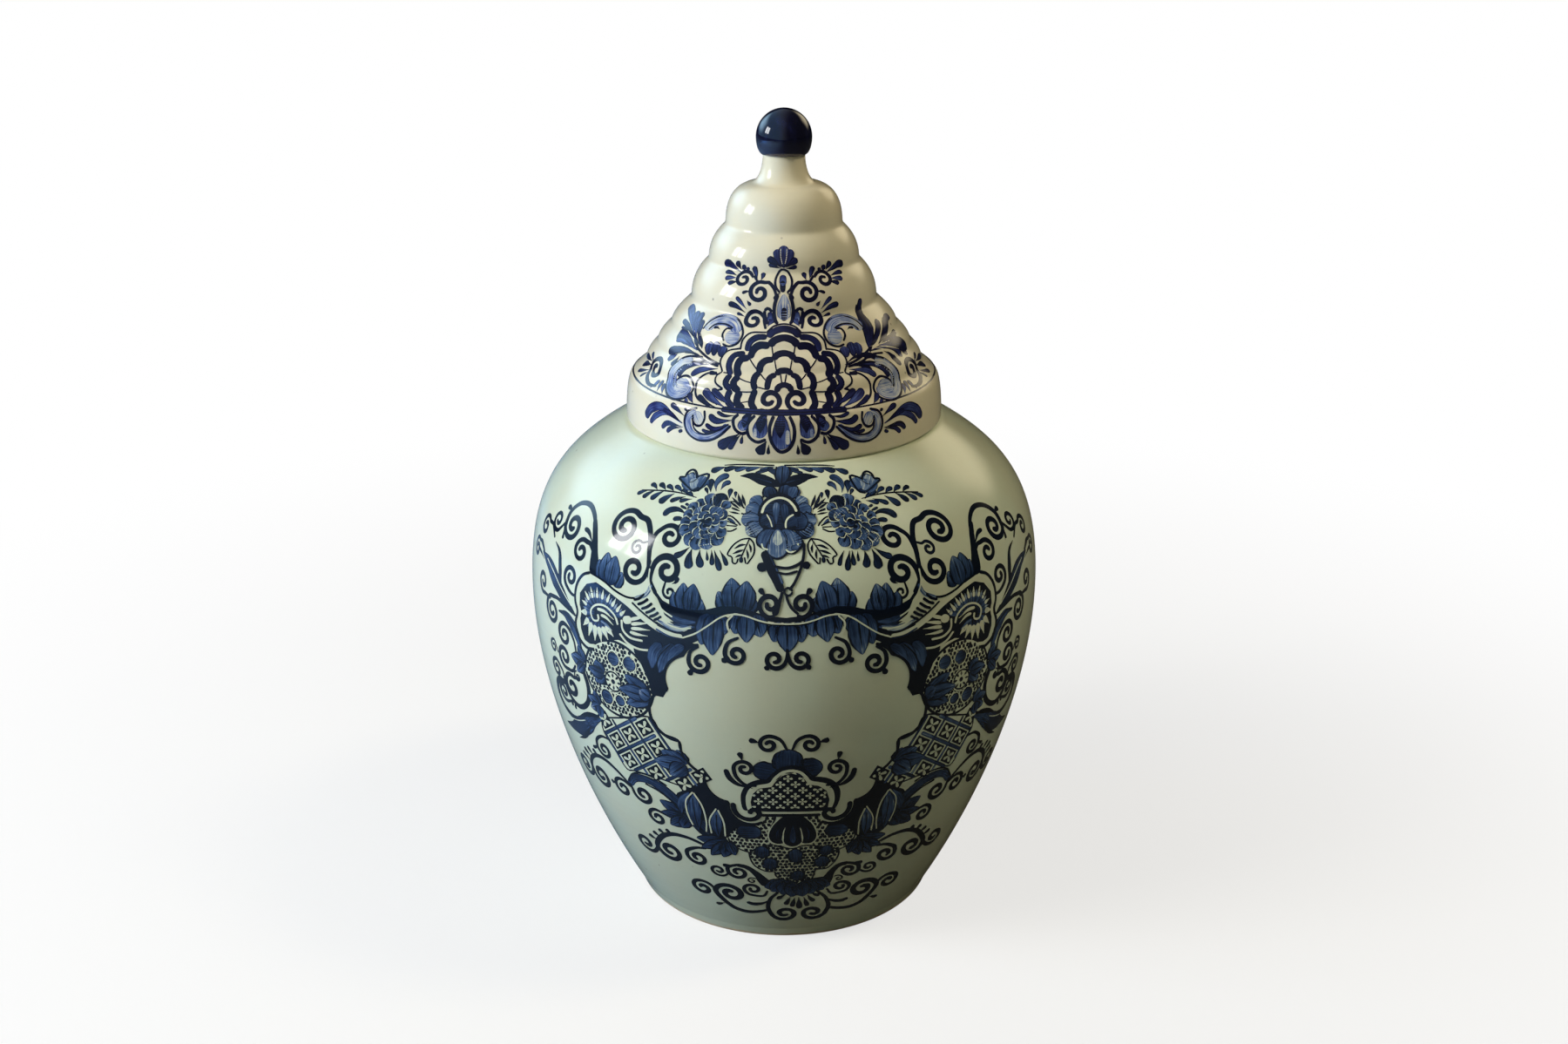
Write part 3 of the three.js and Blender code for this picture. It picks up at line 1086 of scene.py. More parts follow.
MIDDLE_FLOWER = strokes("""
petal ink 6.6 11.2 221.2 14.6 223.6 17 225
tint 5.9
dusk 6.2 6 224.6 7.4 227.4 8.6 230.4
ink 6.8 10.6 218.4 15 219.6 19 220.4
tint 6
ink 6.9 10.6 215.8 15.2 215.4 20.2 214.6
tint 6.2
ink 7.6 9 213.4 13 211.6 17 209.2
tint 6.6
line deep .6 16 219 18.4 217.4 20.8 217.6
ink .8 10.8 225.4 11.2 229.2 8.4 230.8 5 229.8 3.4 227
""")
MIDDLE_BLOOM = strokes("""
petal dusk 6 -.2 225.2 1 228.4 1.8 231.4
wash 5.4 2.4 224.8 4.8 227.6 6.4 230.4
line ink .8 -3 226.8 -2 231.4 .8 232.2 3.6 230.8 6.6 231 7.8 228.6 6.8 226.2
blob 9 5.8 214.6 7.6 214.8
dusk 8
deep 16.6 -4 217.6 -1.2 217.6
ink 8.6 -8 214.4 -7.6 214.6
dusk 7.4
7 2.9 214.4 3.3 214.6
petal wash 3 -3.6 213 -4 218 -3.8 223
dusk 3.6 0 213.6 .4 218 0 222.4
line ink 2.2 -11.8 216.4 -10.8 221 -7.4 225 -2.6 226.5 2.2 225.2 5.8 221.6 6.9 216.6
bare 1.2 -10.8 218 -9.8 221.2 -7 223.9 -2.6 225.2 1.6 224.3 4.6 221.7 6.1 218.8
.9 4.6 217.6 2 216.2 .8 214.2 .8 211.8
.6 -8.4 217.6 -6.6 215 -5.5 212.2
ink 1.4 -9.6 212.6 -6.2 211 -2.4 211 1.6 211 5.6 212.4
petal 9.8 -4.4 211 -7 207.4 -7.6 202.8
tint 8.8 -4.4 211 -7 207.4 -7.6 203.6
ink 9.8 -.8 211 2.4 207.2 4 201.4
tint 8.8 -.8 211 2.4 207.2 3.9 202.4
ink 9 -2.8 211.4 -3 206 -3.2 199.2
tint 8 -2.8 211.4 -3 206 -3.2 200
pale 4 -2.8 210.8 -2.8 208 -2.9 204.6
line bare .8 -9.8 205.4 -9 203.6 -6.8 203
.8 .6 203.2 2.6 202 5 203 6.2 205.6
blob wash 2.6 4 203.6 5.2 204
line deep .5 -5 210.4 -6.2 207.4 -6.4 205
.5 0 210.4 1.2 207.6 1.4 205.4
""", RIGHT)

# Cone-shaped vase under the middle flower, and its foot on the cornice
VASE = strokes("""
line ink 3.4 -8.8 202.4 -6.9 198.6 -4.6 194 -2.4 190 -1 187
wash 1.2 -6.2 201 -4.2 197.4 -2 193 -.6 190
blob ink 3.8 -9.6 196.2 -8.6 196.4
line 1.2 -4.4 196.6 1 196 5 197 8 198.8
1 -3.4 194.4 1.2 193.8 5.6 194.9
1.1 8.8 205.6 8.2 200.4 6.6 195.2 4.2 190.4 2 187.6
blob 3 8.8 197 9.6 197
ring .9 1.6 187 1.5 0 1
stem 2.8 -4 177.8 -2.6 181 -1.4 184.4 -.8 187
line 1.1 5.6 178.2 3 180.6 1.4 183.6 .8 186.2
curl 2.6 -5.6 182 4.7 265 -1.45 -3.6 177.8
2.6 7 182 4.7 275 1.45 4.9 177.8
comma 2.4 -9.8 188.2 -8.7 186.6 -7.2 185.2
2.4 10.8 188.2 9.7 186.6 8.2 185.2
""", RIGHT)

# Long curls at both sides: centre, radius, start angle, turns, tail
UPPER_SCROLLS = strokes("""
curl ink 2.5 76.2 204 7.6 48 1.75 53 181.6 57.4 187.6 59.4 195.6 61.6 203.2 65.6 208.6
2.4 51.8 204.2 5.3 150 -1.6 59.4 197 59.4 203.6
2.9 65.2 188.8 5.9 350 -1.75 58.2 194
deep 1.8 66.2 197.2 3.3 50 1.4 60.4 201.4
ink 2.8 49.6 191.2 6.4 180 -1.75 53.8 181.2 56.6 186
1.9 47.2 183 3 150 1.3 49.2 188
comma 1.9 44 189.4 44.8 187.4 46.6 186.4
stem 5.9 86.4 181.4 88 188 91.4 196 96 202.4
curl 2.5 109 195.8 5.8 215 1.6 87.2 186 90.6 194.6 96.4 202.6 104 206.4 111.4 205.2 115.6 200.4
 115.4 195
2.3 123 194 4.6 318 -1.45 114.8 196.4
comma 2.4 120 201.2 117.4 201 115 200
2 114 188.4 114.2 190 115.2 192
curl 2.5 97.6 188.2 5.1 62 1.55 87 184 88.8 189 92.6 192.4
comma 2 100 197.2 96 196.4 91 192.6
curl 2.3 101.4 176.2 5 240 -1.5 95 169.6 99.6 169.6
2.3 134.5 187.6 4.8 40 1.5 121 186.6 126.6 190.6
2.1 140 176 4.6 60 1.5 128.6 177.8 134 180.4
leaf dusk 7.4 95.6 161.2 104 165.4 113 170.8 121 175.2 131 177.4
deep 3 103 164.6 108.4 170 110.6 177 113.4 183 119 185.6
line bare .7 99 164.4 108 169.2 116 173.6 124 176.6
comma ink 1.6 136.6 180.8 132 179 127 176
1.6 138.4 176.6 133 176 128 174.8
curl 2.3 126.6 165.8 5.2 300 -1.5 117.4 161.4
2.1 115.8 156.8 6.5 82 1.8 96 161.2 103.6 162.8 110 163.8
leaf wash 5.4 109.4 158.6 103.6 159.2 98.2 156.2 94.6 151.6 92.4 145.6
line ink 1 109.6 158.8 104 159.8 98 157.2 94 152.4 91.4 145
curl 2.1 105.2 149.6 5.2 82 1.65 96.6 144.2 97.6 149.4 100.8 153.4
""")

SIDE_VINES = strokes("""
curl ink 2.2 106.6 139.4 5.6 292 -1.65 98 138.4 100.8 134.8
1.9 116.8 140.2 3.3 60 1.35 112.6 138.6
2.2 116.8 129.9 4.6 62 1.6 109.6 126.8 110.8 130.8
2.6 103.6 126.4 6 62 1.8 95.8 132.6 99 132.2
1.8 97.6 133.2 2.7 90 1.3
line 2.6 92.6 138 90.5 131.4 91.6 124.8 95.6 120 101 117.8 106.2 119.6 109.2 124 110.4 128.6
comma 1.8 104.6 114.8 104.4 116.6 103.6 118.6
1.8 107.4 115.6 106.6 117.2 105.4 119.2
curl 2.3 113.4 120.2 4.9 310 -1.55 106.6 118
line 2.8 110.2 125.2 115.6 125.2 120 121.4 120.8 115.4 117 110.8 110.4 108.8 103 110.2 96
 113.4
leaf dusk 9.4 121 101.4 112.6 102.6 104 106.2 97 110.6 91 114.8 84.6 117.8
ink 2.4 110 98 104 101 98 106 94 111
line bare .6 113 107 105 109 98 112
leaf ink 2.6 103 112 96 115.6 90 117.6 84 118.4
curl 2.3 88.4 100.8 4.5 178 1.65 82 108.2 87.6 108 92.2 104.8
comma 1.9 97.4 98.6 95 99.6 92.4 101.8
""")

LOWER_SCROLLS = strokes("""
stem dusk 8.8 35 69.6 42.6 77.2 49.6 85.8 56.4 91.4 65 93.6 72 91.8 76.2 87
line ink 1 76.2 88.4 73 93.6 67 96.3 60 96 53.6 93.6
1.2 38 70.4 45 77.4 52 84.6 58.6 89 66 91
curl 2.5 69.2 83.8 5.5 170 1.7 75.8 88
2.5 82.4 82.6 5.2 70 1.7 75.6 85.4
comma 2.5 90.4 83.2 89 83.4 87 83.2
curl 2.5 98.6 82.8 6.7 162 1.85 75.8 86.2 82 91.2 89 94.5 96 94.5 101.6 91.6 105 87.4
2.5 113.4 83 5.9 350 -1.65 104.4 88.6
comma 2.5 98.8 97.2 97.4 95.8 95.2 94.6
2.5 104 96.2 102.2 94.6 99.8 93.2
2.5 108 94 106 92.4 103.4 90.8
2.3 111.4 90.4 109 89 106 87.8
curl 2.3 64 72.2 4.8 80 1.65 56.8 75.2
2.8 63.2 52 6.7 175 1.85 40.6 62.4 48 64.6 56 64.6 63 62 68 57.8
2.6 80.2 51 5.6 332 -1.55 69.6 57 71.6 51.8
comma 2.4 61.4 66.2 60 65.4 57.8 64.2
2.4 66.4 64.6 64.8 63.8 62.4 62.4
2.4 71 61.6 69 60.6 66.6 59.6
2.4 75 58.4 73 57.4 69.8 56.6
curl 2.5 46.2 52.8 5.3 135 1.75 39.6 60.2 45.2 59.4
2.8 24.6 47.4 4.8 140 1.65 17 50 22.6 52.6
stem 5.3 8.8 39.2 11.6 43.2 14.8 47.6 19.4 51.4 25 52.4
comma 2.5 32.4 50.6 30 51.2 26.8 51.8
curl 2.5 35.6 46.8 3.9 318 -1.45 29.4 46.8
2 17.4 42.4 2.3 40 1.25
3.1 17.7 36.2 4.4 255 -1.55 9.3 35.8 11.9 31.8
2.8 31.5 31.2 6.8 186 -1.75 8.7 21.6 14.9 19.6 22.9 18.4 30.7 20 36.7 24.6
2.6 49.1 31.2 5.5 55 1.6 39.3 29 41.7 33.4
comma 2.3 43.4 20.8 40.6 21.4 37.2 22.8
2.5 22.6 26 18.2 25 12.6 26.2 8.2 29.4
curl 2.8 -.4 18.6 5.6 205 1.65 3.4 35 8 29.6 9.8 22.6 7.4 16.6
""")

BOTTOM_RAYS = strokes("""
comma ink 2.3 -4.4 30.4 -2.6 31 .6 33.4
2.3 .8 25.6 2 28 3.6 31.6
2.3 4.9 24 5.4 27 6.2 31
2.8 9.4 22.4 9 26 8.4 31
2.3 14.2 24 13 27 11.4 31
2.3 18.2 27.6 16 29 13.4 32.4
2 20.6 31.6 18 32.4 15.6 34.2
""", RIGHT)

# Edges of the cornice's dark ground
CORNICE_WAVE = (
    numbers("""
-59.4 194 -58.4 188.4 -55.4 183.4 -51 179.8 -45 177.9 -38 177.4 -31 178.5 -25 180.4 -19 180.8 -13 179.4 -7
177.8 1.4 176.9
"""),
    numbers("""
-58.4 192 -57.2 186.8 -54 182.2 -50.6 177.4 -48.4 173.8 -43 171 -38 169.6 -34.6 169.8 -30 173 -25 176.6
-19 178.2 -13 177.2 -7 175.8 1.4 175
"""),
)
CORNICE = strokes("""
line ink 1.7 -1.4 175.9 4 176.1 9 177
leaf wash 3.2 49.6 175.6 42 172.6 34 173
2.4 46 171.6 40 170.4 35 171
line ink 1.4 50 178.6 55 183.4 57.8 189 59.2 195
""")

CORNICE_BAND = strokes("""
line bare 2.1 87 180.4 80 179.2 72 176.9 65 174.4 58 170.7 51 167.7 44.6 166.3 40.4 166.2
ink .9 88.6 181.8 80 180.7 73 178.4 66 177.3 60 178.8 56.6 181.6
.8 64 175.8 58 172.6 51 169.5 45 167.9 39.4 168.2
leaf mist 2.6 52 171.4 46 169.6 41 169.4 36.6 171.2
line bare .7 51.8 172.6 46 170.2 40.6 169.6 36.8 170.4
pale 1.6 62.6 177.6 57.6 180.4 55.6 184.6
bare .7 57.6 190.6 57 185.6 54 180.4 50 176 45 173.6
ink 1.2 63.2 177 60.6 178.2 58.2 180.4
1.2 61.2 175.6 58.8 176.8 56.4 178.8
1.2 59.2 174.2 56.8 175.4 54.4 177.4
1.2 57.2 173 55 174.1 52.8 175.8
1.2 55.2 171.9 53.2 172.8 51.2 174.4
1.2 53.2 170.9 51.6 171.7 49.8 173
bare .7 -1.4 174.6 5 174.8 10 175.8 15 177.3 20 177.6 25 176 30 172.2 35 168.5 40.4 165.9
.8 20 177.4 22.2 174.6 21.8 171.6 20.4 169.4
ink .6 -1.4 174 5 174.2 9.4 175
""")

PENDANT_CURLS = strokes("""
curl ink 2.6 33 156.8 4.84 178 1.55 33.6 163.4 37 160.8
comma 2.5 37.6 150.8 36.8 152.4 35.2 154.2
curl 2.6 18.6 161.6 4.62 160 1.6 17.6 168.6 21.6 166.4
comma 2.5 24 158 22.8 159.2 21.2 160.2
curl 2.5 3.6 160.2 4.51 2 -1.65 -1.4 164.6
comma 2.2 7.2 155.8 6.2 157.2 4.8 158.2
""")

MEDALLION_LINES = strokes("""
line ink 1.3 88.6 181.8 93.2 179.4 96.3 174.2 96.5 168.2 94.6 163.6 95.8 158.2 93.6 152.6 88.6
 149.8 84 150.4
bare 1.5 86 180.2 91.4 177.8 94.7 173.4 94.9 168.4 92.8 164 94 158.4 92 153.8 88 151.4 83
 152.2
1 70.4 165 72.4 168.6 77.6 170.9 82.8 170 85.8 166.8 84.2 163.4 81.2 164 81.6 166.4
comma 1.5 82 168.6 77.6 168.6 72.6 166.6
1.3 79.8 166.6 76.6 166.2 72.8 164.2
mist 1.4 79.8 164.2 77 163.6 73.4 161.8
line bare 1 68.6 167.6 67.8 163.6 64 161.2 58 161.2
blob 3.4 66.4 168 65 168.4
comma 1.6 64 168.8 61 170 57 171.8
1.5 63.6 167 60 168 55 169.2
1.5 63.6 165.2 60 165.8 54.6 166.4
1.4 64.2 163.6 60.6 163.4 55.6 163.8
line .9 69.4 161.6 65.4 158.6 60 157.4 54.6 158
""")

MEDALLION_PETALS = strokes("""
lobe wash 5.4 49.6 162 53 157.4 53.8 150.6
6 43.6 162.4 47.6 157.6 50.6 149.4
4.4 39.6 162.8 43.6 159.8 46.8 155
line ink .7 45 162.6 49.6 157.6 52.4 151
wash 1 40 165.4 46 165.6 52 167.6
leaf 6.6 41.2 70.6 41.8 80 40.6 92.6
5.6 31.6 68.8 31.8 77 30.4 85.4
4.8 48.8 79 47.6 85.6 42.8 93
line bare .7 41 93.4 45 88 45.6 80.6 44 74
.7 40.6 93.2 37.4 86.4 36.6 78 37.6 71.4
.7 30.8 86.2 34.8 79 35 71
.7 30 85.6 28 78.6 28.2 70.4
ink .6 41.4 90 41.8 80 41.4 73
.6 31 83 31.6 76 31.4 71
""")

# Rays of the large fan, each from its root to its tip
FAN_RAYS = numbers("""
-88.2 165.2 -92.6 164.4 -88.4 168.4 -92.6 169.6 -87.2 170.8 -91 174.2 -85 172.2 -87.6 177.2 -82.4 172.9
-83.4 178 -79.6 173.1 -79.4 178 -76.8 172.7 -75.4 177.4 -74 171.7 -71.8 176.2 -71.4 170.2 -68.6 174.6
-69.4 169.2 -66.2 172.6 -87 162.8 -90.4 159 -85.2 161.8 -87 155.6 -83 161.4 -83.2 154.6 -80.8 161.4 -79.4
155.2 -78.8 162 -75.6 157.2 -77 162.8 -72.6 159.4
""", 4)

OVAL = arc((-90.6, 140.0), (-73.5, 157.2), (-53.6, 141.0), 40)
OVAL = np.vstack([OVAL, arc((-53.6, 141.0), (-70.5, 123.6), (-90.6, 140.0), 40)[1:-1]])

OVAL_DISCS = ((-73.2, 149.6, 6.0), (-64.8, 149.6, 6.2), (-78.6, 130.8, 6.4), (-71.2, 131.2, 4.6))
OVAL_FLOWERS = strokes("""
blob bare 10.4 74.2 139.2 73.8 139.2
ring ink 1 74 139.2 4.3 0 1
blob 2.4 74.1 139.2 73.9 139.2
leaf 1.4 74 140.9 74 143
1.4 74 137.5 74 135.4
1.4 72 139.2 69.8 139.2
1.4 76 139.2 78.2 139.2
1.4 72.6 140.6 71 142.1
1.4 75.4 140.6 77 142.1
1.4 72.6 137.8 71 136.3
1.4 75.4 137.8 77 136.3
""")

# The bare cartouche: cusps and the arcs between them, from the cornice down to the dome
CARTOUCHE_UPPER = np.vstack([
    arc((-33.6, 164.0), (-37.6, 162.2), (-40.2, 158.6)),
    arc((-40.2, 158.6), (-47.4, 152.4), (-47.2, 142.4))[1:],
])
CARTOUCHE_SIDE = arc((-47.2, 142.4), (-56.4, 131.4), (-44.0, 119.3), 40)
CARTOUCHE_LATTICE = arc((-44.0, 119.3), (-41.2, 109.6), (-34.0, 104.3), 30)
CARTOUCHE_LOWER = np.vstack([
    arc((-34.0, 104.3), (-32.0, 94.8), (-24.6, 91.0), 30),
    arc((-24.6, 91.0), (-20.4, 80.8), (-9.8, 81.0), 30)[1:],
])

# Edges of the dark grounds beside the cartouche
MEDALLION_GROUNDS = (
    (numbers("-93.2 165.6 -93.6 172 -90 176.8 -84 179.2 -76 178 -68 175.4 -61 172.6 -55 170.2"),
     numbers("-92.4 164 -92.2 157 -90 152.6 -85 151.6 -78 156 -70 158.6 -62 157.4 -54 158.2")),
    (numbers("-64 171.6 -63.2 164 -62.4 155.6 -58.8 150.6 -56 144.6 -54.6 138.6"),
     np.vstack([[(-42.0, 165.4)], CARTOUCHE_UPPER, [(-49.4, 138.6)]])),
    (numbers("-52 170.6 -46 168.4 -40.6 168 -36.4 170.6 -31 174.6"),
     numbers("-50 164 -44 163 -40 162.4 -35.6 164.6 -29 168.6")),
    (numbers("-36 100.4 -42 95.6 -49 91 -52.6 84 -47 75 -37 67.6 -28.6 67.8 -24 75 -17 78.4 -10 79.6"),
     CARTOUCHE_LOWER),
)

LATTICE_PANEL = numbers("""
-84.6 118.6 -72 122.8 -57 127.6 -52 121.6 -44 119.3 -43.2 112 -38.6 106 -34 104.3 -34.8 98.6 -37 96.6 -46
95.6 -58 96.8 -70 96.4 -75.4 95.8 -80 103.6 -85.2 111.6
""")

DOME_OUTER = numbers("""
-16.6 87 -17.4 91 -17.2 96 -14.8 100.6 -11 102.8 -6.6 103.8 -4 107 -.6 109.9 3 110.7 6.8 109.9 9.6 106.9
12 104.7 16.6 103.8 20.6 101.4 22.9 96.8 22.8 91.4 21 87
""")
DOME_INNER = numbers("""
-14.4 87.6 -14.8 92 -13.8 96.4 -11 99.6 -5.4 100.8 -3.2 104.2 -.6 106.9 3 107.9 6.4 106.9 8.8 104.4 10.4
101.8 15 100.8 18.4 97.8 20 93 19.4 87.6
""")

DOME_CURLS = strokes("""
curl ink 2.6 6.2 122.2 4.4 55 1.6 -1.2 119.6 1 124
comma 2.6 14.2 123.8 12.6 123.8 10 123
curl 2.4 16.6 109.6 4.3 180 -1.55 11.6 101 16.6 101.4 20.2 105.2
comma 2.4 18.4 117.8 17.8 116 17.2 113.6
2.6 24.6 108.6 23.2 104.4 19.6 101.2 13.4 99.6
line 2.3 22.6 90.8 22.4 87 20.4 83.6 16.6 82 12.8 82.8 11 85.4 12.4 87.6 14.8 87.2 15.2 85.2
""")

TULIP = strokes("""
petal bare 8.5 2.4 85 -1.4 79 -2.8 72.6 -1.2 67.4
8.5 5.4 85 9.4 79 11 72.6 9.4 67.4
ink 7.4 2.4 85.4 -1.4 79 -2.8 73 -1.2 68.2
7.4 5.4 85.4 9.4 79 11 73 9.4 68.2
bare 8.5 3.9 84 3.9 75 4.2 65.6
ink 7.4 3.9 86 3.9 75 4.2 66.4
dusk 3.2 4 80 4 75 4.2 68.6
comma 1.8 -3.2 70.4 -3 75.4 -.8 80.4
1.8 11.4 70.4 11.2 75.4 8.8 80.4
""", RIGHT)

STIPPLE_SIDE = numbers("""
-27 69.6 -26 75.6 -22 78.8 -10 80 -7.6 84 -4 84 -6.4 76 -6.4 68 -10 63 -13 61 -20 62.4 -25.4 65.4
""")
STIPPLE_MIDDLE = numbers("""
-13.4 64.6 -6 67.4 -2.4 66.6 3.6 64.8 10.6 66.6 20.4 64.6 27 62 26.6 55.6 22.4 50.6 16.6 50.2 15.8 46.4
13.4 42.6 6.6 40.6 .4 42.6 -4.2 46.6 -5 49.4 -10 49.8 -15.4 53.4 -17.2 60.6
""")
STIPPLE_FLOWERS = strokes("""
blob ink 9 -18.8 74.4 -14.2 74.8
dusk 8.2
ink 6.8 -10.9 61.2 -10.7 63.4
dusk 6.1
ink 7 -7.2 53.8 -7 55.8
dusk 6.3
ink 6.4 5.7 58.4 5.5 62
dusk 5.7
ink 6.8 19.2 54.6 19.3 56.4
dusk 6.1
ink 6.2 20.7 61.8 20.9 63.4
dusk 5.5
ink 6.4 7.1 45.9 7.2 47.7
dusk 5.7
ink 8 22.2 75 27 74.6
dusk 7.2
""", RIGHT)

# Drawing of the lid: millimetres round a 60 mm ring from the middle, and millimetres up the outline from its
# edge

SHELL_RINGS = strokes("""
line ink 2.6 7 30.6 6.8 33.6 6 36 3.4 37.2
2.8 10.6 21.4 12.8 24.6 12.6 28.4 11.6 30.6
2.8 11.8 30.4 13 33.2 12.6 36.2 10.8 37.8
3 11 37.4 10.8 40.6 8.6 42.8 4.8 43.3
3.1 15.4 21.6 18.4 24.2 19 27 18.2 29.6
3.1 18.4 29.2 21.2 31 21.6 33.4 19.8 35.6
3.2 20 35.2 21.6 38.8 20.4 42.6 16.4 43.6
3.2 16.4 43.2 15.4 47.2 12.4 49.2 7.2 49.2
deep 2.8 19.4 22 22.6 24.8 23.2 27.6 22.2 29.6
2.8 22.4 29.6 25 31.6 25 34 23.6 35.8
2.8 23.8 35.6 25.8 39.4 24.4 44 19.2 45.4
2.8 18.8 46.4 17.8 50.2 14.2 52.4 9 52.8
ink .9 26.2 22.4 29 25 28.6 28.4 26 29.6
.9 26 29.6 29.8 31.6 30.4 34.6 28.4 36.6
.9 28.4 36.6 30.6 41 28.6 45.6 22.2 47.4
.9 22.4 46.8 21.8 51 18 54.2 9.4 54.8
.6 6.2 49.2 5.6 46.4 5 43.8
.6 16.4 43.2 14 40.6 11.4 38.2
.6 20 34.8 16.4 33.6 12.8 33
.6 19 29.2 16 29.3 12.8 29.6
.6 17 24.6 14.8 25.2 12.8 25.8
.6 4.4 43.2 3.8 40.4 3.2 38
.6 10.6 37.4 8.8 35.4 6.8 33.8
.6 11.4 31.6 9.4 31.2 7.2 30.8
.6 1.6 37.4 1.2 35 .9 33.2
.6 27.8 36.4 26.4 36.4 25 36.2
curl 3 5.9 26.4 5.3 232 1.45
""")
SHELL_MIDDLE = strokes("""
line ink 2.6 -3.6 37 -2.2 38.4 0 38.8 2.2 38.4 3.4 37
3 -5 43.2 -3.4 45.4 0 46.2 3.4 45.4 4.8 43.2
3.2 -7.4 49 -5 51.4 0 52.6 4.8 51.4 7 49
deep 3.2 -8.8 52.8 -5.4 55.4 0 56.6 5.4 55.4 8.6 52.8
ink .9 -9.4 54.8 -6 57.6 0 58.8 6 57.6 9.4 54.8
2.5 -3 29.8 -2.4 31.8 0 32.8 2.4 31.8 3 29.8
deep 2.9 -24 20.9 -12 21 0 20.9 12 21 24 20.9
""", RIGHT)

TEARDROPS = strokes("""
petal pale 5.6 0 70.8 -.1 66 0 60.6
blob ink 2.4 0 64.6 0 61.2
line bare .5 2.4 67 3 64 2.6 61
ink 1.5 -4 70.8 -5.8 67 -6.2 63.4 -5.2 60.2 -3.6 58.8
1.5 3.8 70.8 5.4 67 5.8 63.4 4.8 60.2 3.4 58.8
comma 1.9 -6 68.6 -4.6 70.6 -2.4 71.2
1.9 5.6 68.6 4.2 70.6 2 71.2
blob wash 2.9 -.8 78 -.8 75.6
ink 2.3 -.9 75.6 -.9 72.6
line 1 -2.6 71.4 -5.8 74.2 -6 77.6 -3.6 80.6 -.6 81.4 3.4 80.2 5.6 77 4.8 73.6 2 71.4
petal dusk 3.6 -1.2 82.4 -4.4 85.6 -6 89.4
3.6 .4 82.4 3.8 85.6 5.6 89.4
4.2 -.3 82 -.3 86.8 -.2 91
line bare .35 -1.4 83.6 -2.6 86.4 -2.8 89.6
.35 .8 83.6 2 86.4 2.4 89.6
comma deep 3 -13.4 85.6 -8.4 84.6 -2.4 82.2
1.7 -12 83.2 -7.4 82.6 -2.2 81.8
3 10.4 85.6 6.6 84.2 1.6 82.2
1.7 10 82.6 6.4 82 1.4 81.8
""", RIGHT)

LID_INNER = strokes("""
blob wash 2.4 8.6 62.8 8.8 61
line ink 1.4 12.4 64.2 10 65.2 7.4 63.8
1.4 12.4 64.2 11.4 61 9.2 58.4
comma wash 2.8 6.4 61.6 8 59.4 9.6 57.4
curl ink 1.9 16.4 71.3 4.7 65 1.5 4.4 68.8 6.6 73 10.4 75.6
comma 1.5 28.4 70.4 25.6 71.2 22.4 71.4
curl 1.7 30 76.2 4.1 20 1.4 18.6 75.6 22.4 78
comma dusk 3.2 53.2 81.2 47.4 81.8 40.2 80.4 34 79.2
2.2 48.8 78.2 43 78.2 36.6 77.4
wash 2.5 46 75.4 41 76 36 76.4
deep 2.2 41.6 73.4 38 74.2 33.8 74.8
2.8 39.8 83.2 37.6 82 34.6 80.2
blob 2.3 32.8 81.6 32.2 81
1.8 29.2 81 28.6 80.6
comma dusk 2.5 23.8 82.2 22 79.8 19.6 77
2.2 16 80 15.8 78.4 16.6 76.4
curl ink 2.1 18.6 59.8 4.5 22 1.5 10.4 56.2 11.8 59.6
comma dusk 2.6 37.4 65.6 31.6 65 24.6 62.8
wash 1.9 32.2 68.6 28.4 66.8 24 64.2
dusk 1.4 30.6 62.2 27.6 61.8 24.8 61.2
deep 1.7 21.2 66 22.6 66.6 24.2 67.8
""")

PLUMES_LEFT = strokes("""
comma wash 4.2 75.6 59.4 69.4 58 62.4 55 53.4 49.4
4.4 62.4 59 59.4 55.4 53.2 48.8
4 56.8 59.4 55.4 54.8 50.8 48
dusk 3.4 52.2 56.2 51.2 52.4 48.2 47.4
deep 2.6 69.6 52.8 62 51.6 55 49.2 49.2 46.4
1.5 67 50 61.6 49.8 56 48.2
wash 5.8 67.6 47.2 60.6 46.8 53.6 45.4 45.8 43.2
tint 2.6 65 44.4 59 45.2 52.6 44.2
dusk 3.9 66 38.6 60 40.6 53 41.9 43.8 41.6
wash 3.2 63.2 35.6 60.8 37.2 57.6 39.2
deep 2.6 57.8 33.8 57.2 36 55.8 38.6
leaf 2 54 50.4 50.4 47 46 44.4
2 51 50.8 48.2 48 44.8 45
ink 1.6 48.6 50.4 46.4 47.4 43.6 44.4
""")

PLUMES_RIGHT = strokes("""
leaf deep 6.6 44.8 42.4 49 48.6 51.2 54.8 51.8 63.6
comma 3.2 57 65.4 55 63.2 53.2 59.4 51.8 54
3.5 62.6 54.6 58.6 50.8 52 46.8 45 44
4.4 70.6 53.6 66.6 50.4 61 47.4 53 44.8
3.4 78.4 53.2 71.4 52.8 63.4 48.6 55 45.4
2.8 75.4 46.6 68.6 45.6 61.4 45.6 54 44.4
3.2 60.6 33.2 59.6 36.6 57.4 39.2 53.6 41.4
3.6 66.4 36.2 64.6 39.2 60.6 41.4 54 42.6
3.4 72.2 35.6 70.4 38.4 66.6 40.6 60 42
dusk 5.6 75.4 37.6 72 41.4 65 43.4 55.4 43.4 45 43
leaf bare .6 46.4 45 54 44.6 63 44.4
.6 48 44.2 55 41.8 60.4 38
.6 50 44.4 58 42.6 66 39.6
comma ink 2.7 48.8 36.8 46.6 40 41.4 42 34.4 41.8 28.6 39.4
2.4 41.6 34.8 39.8 37.4 35.4 38.8 28.8 38.6
""", RIGHT)

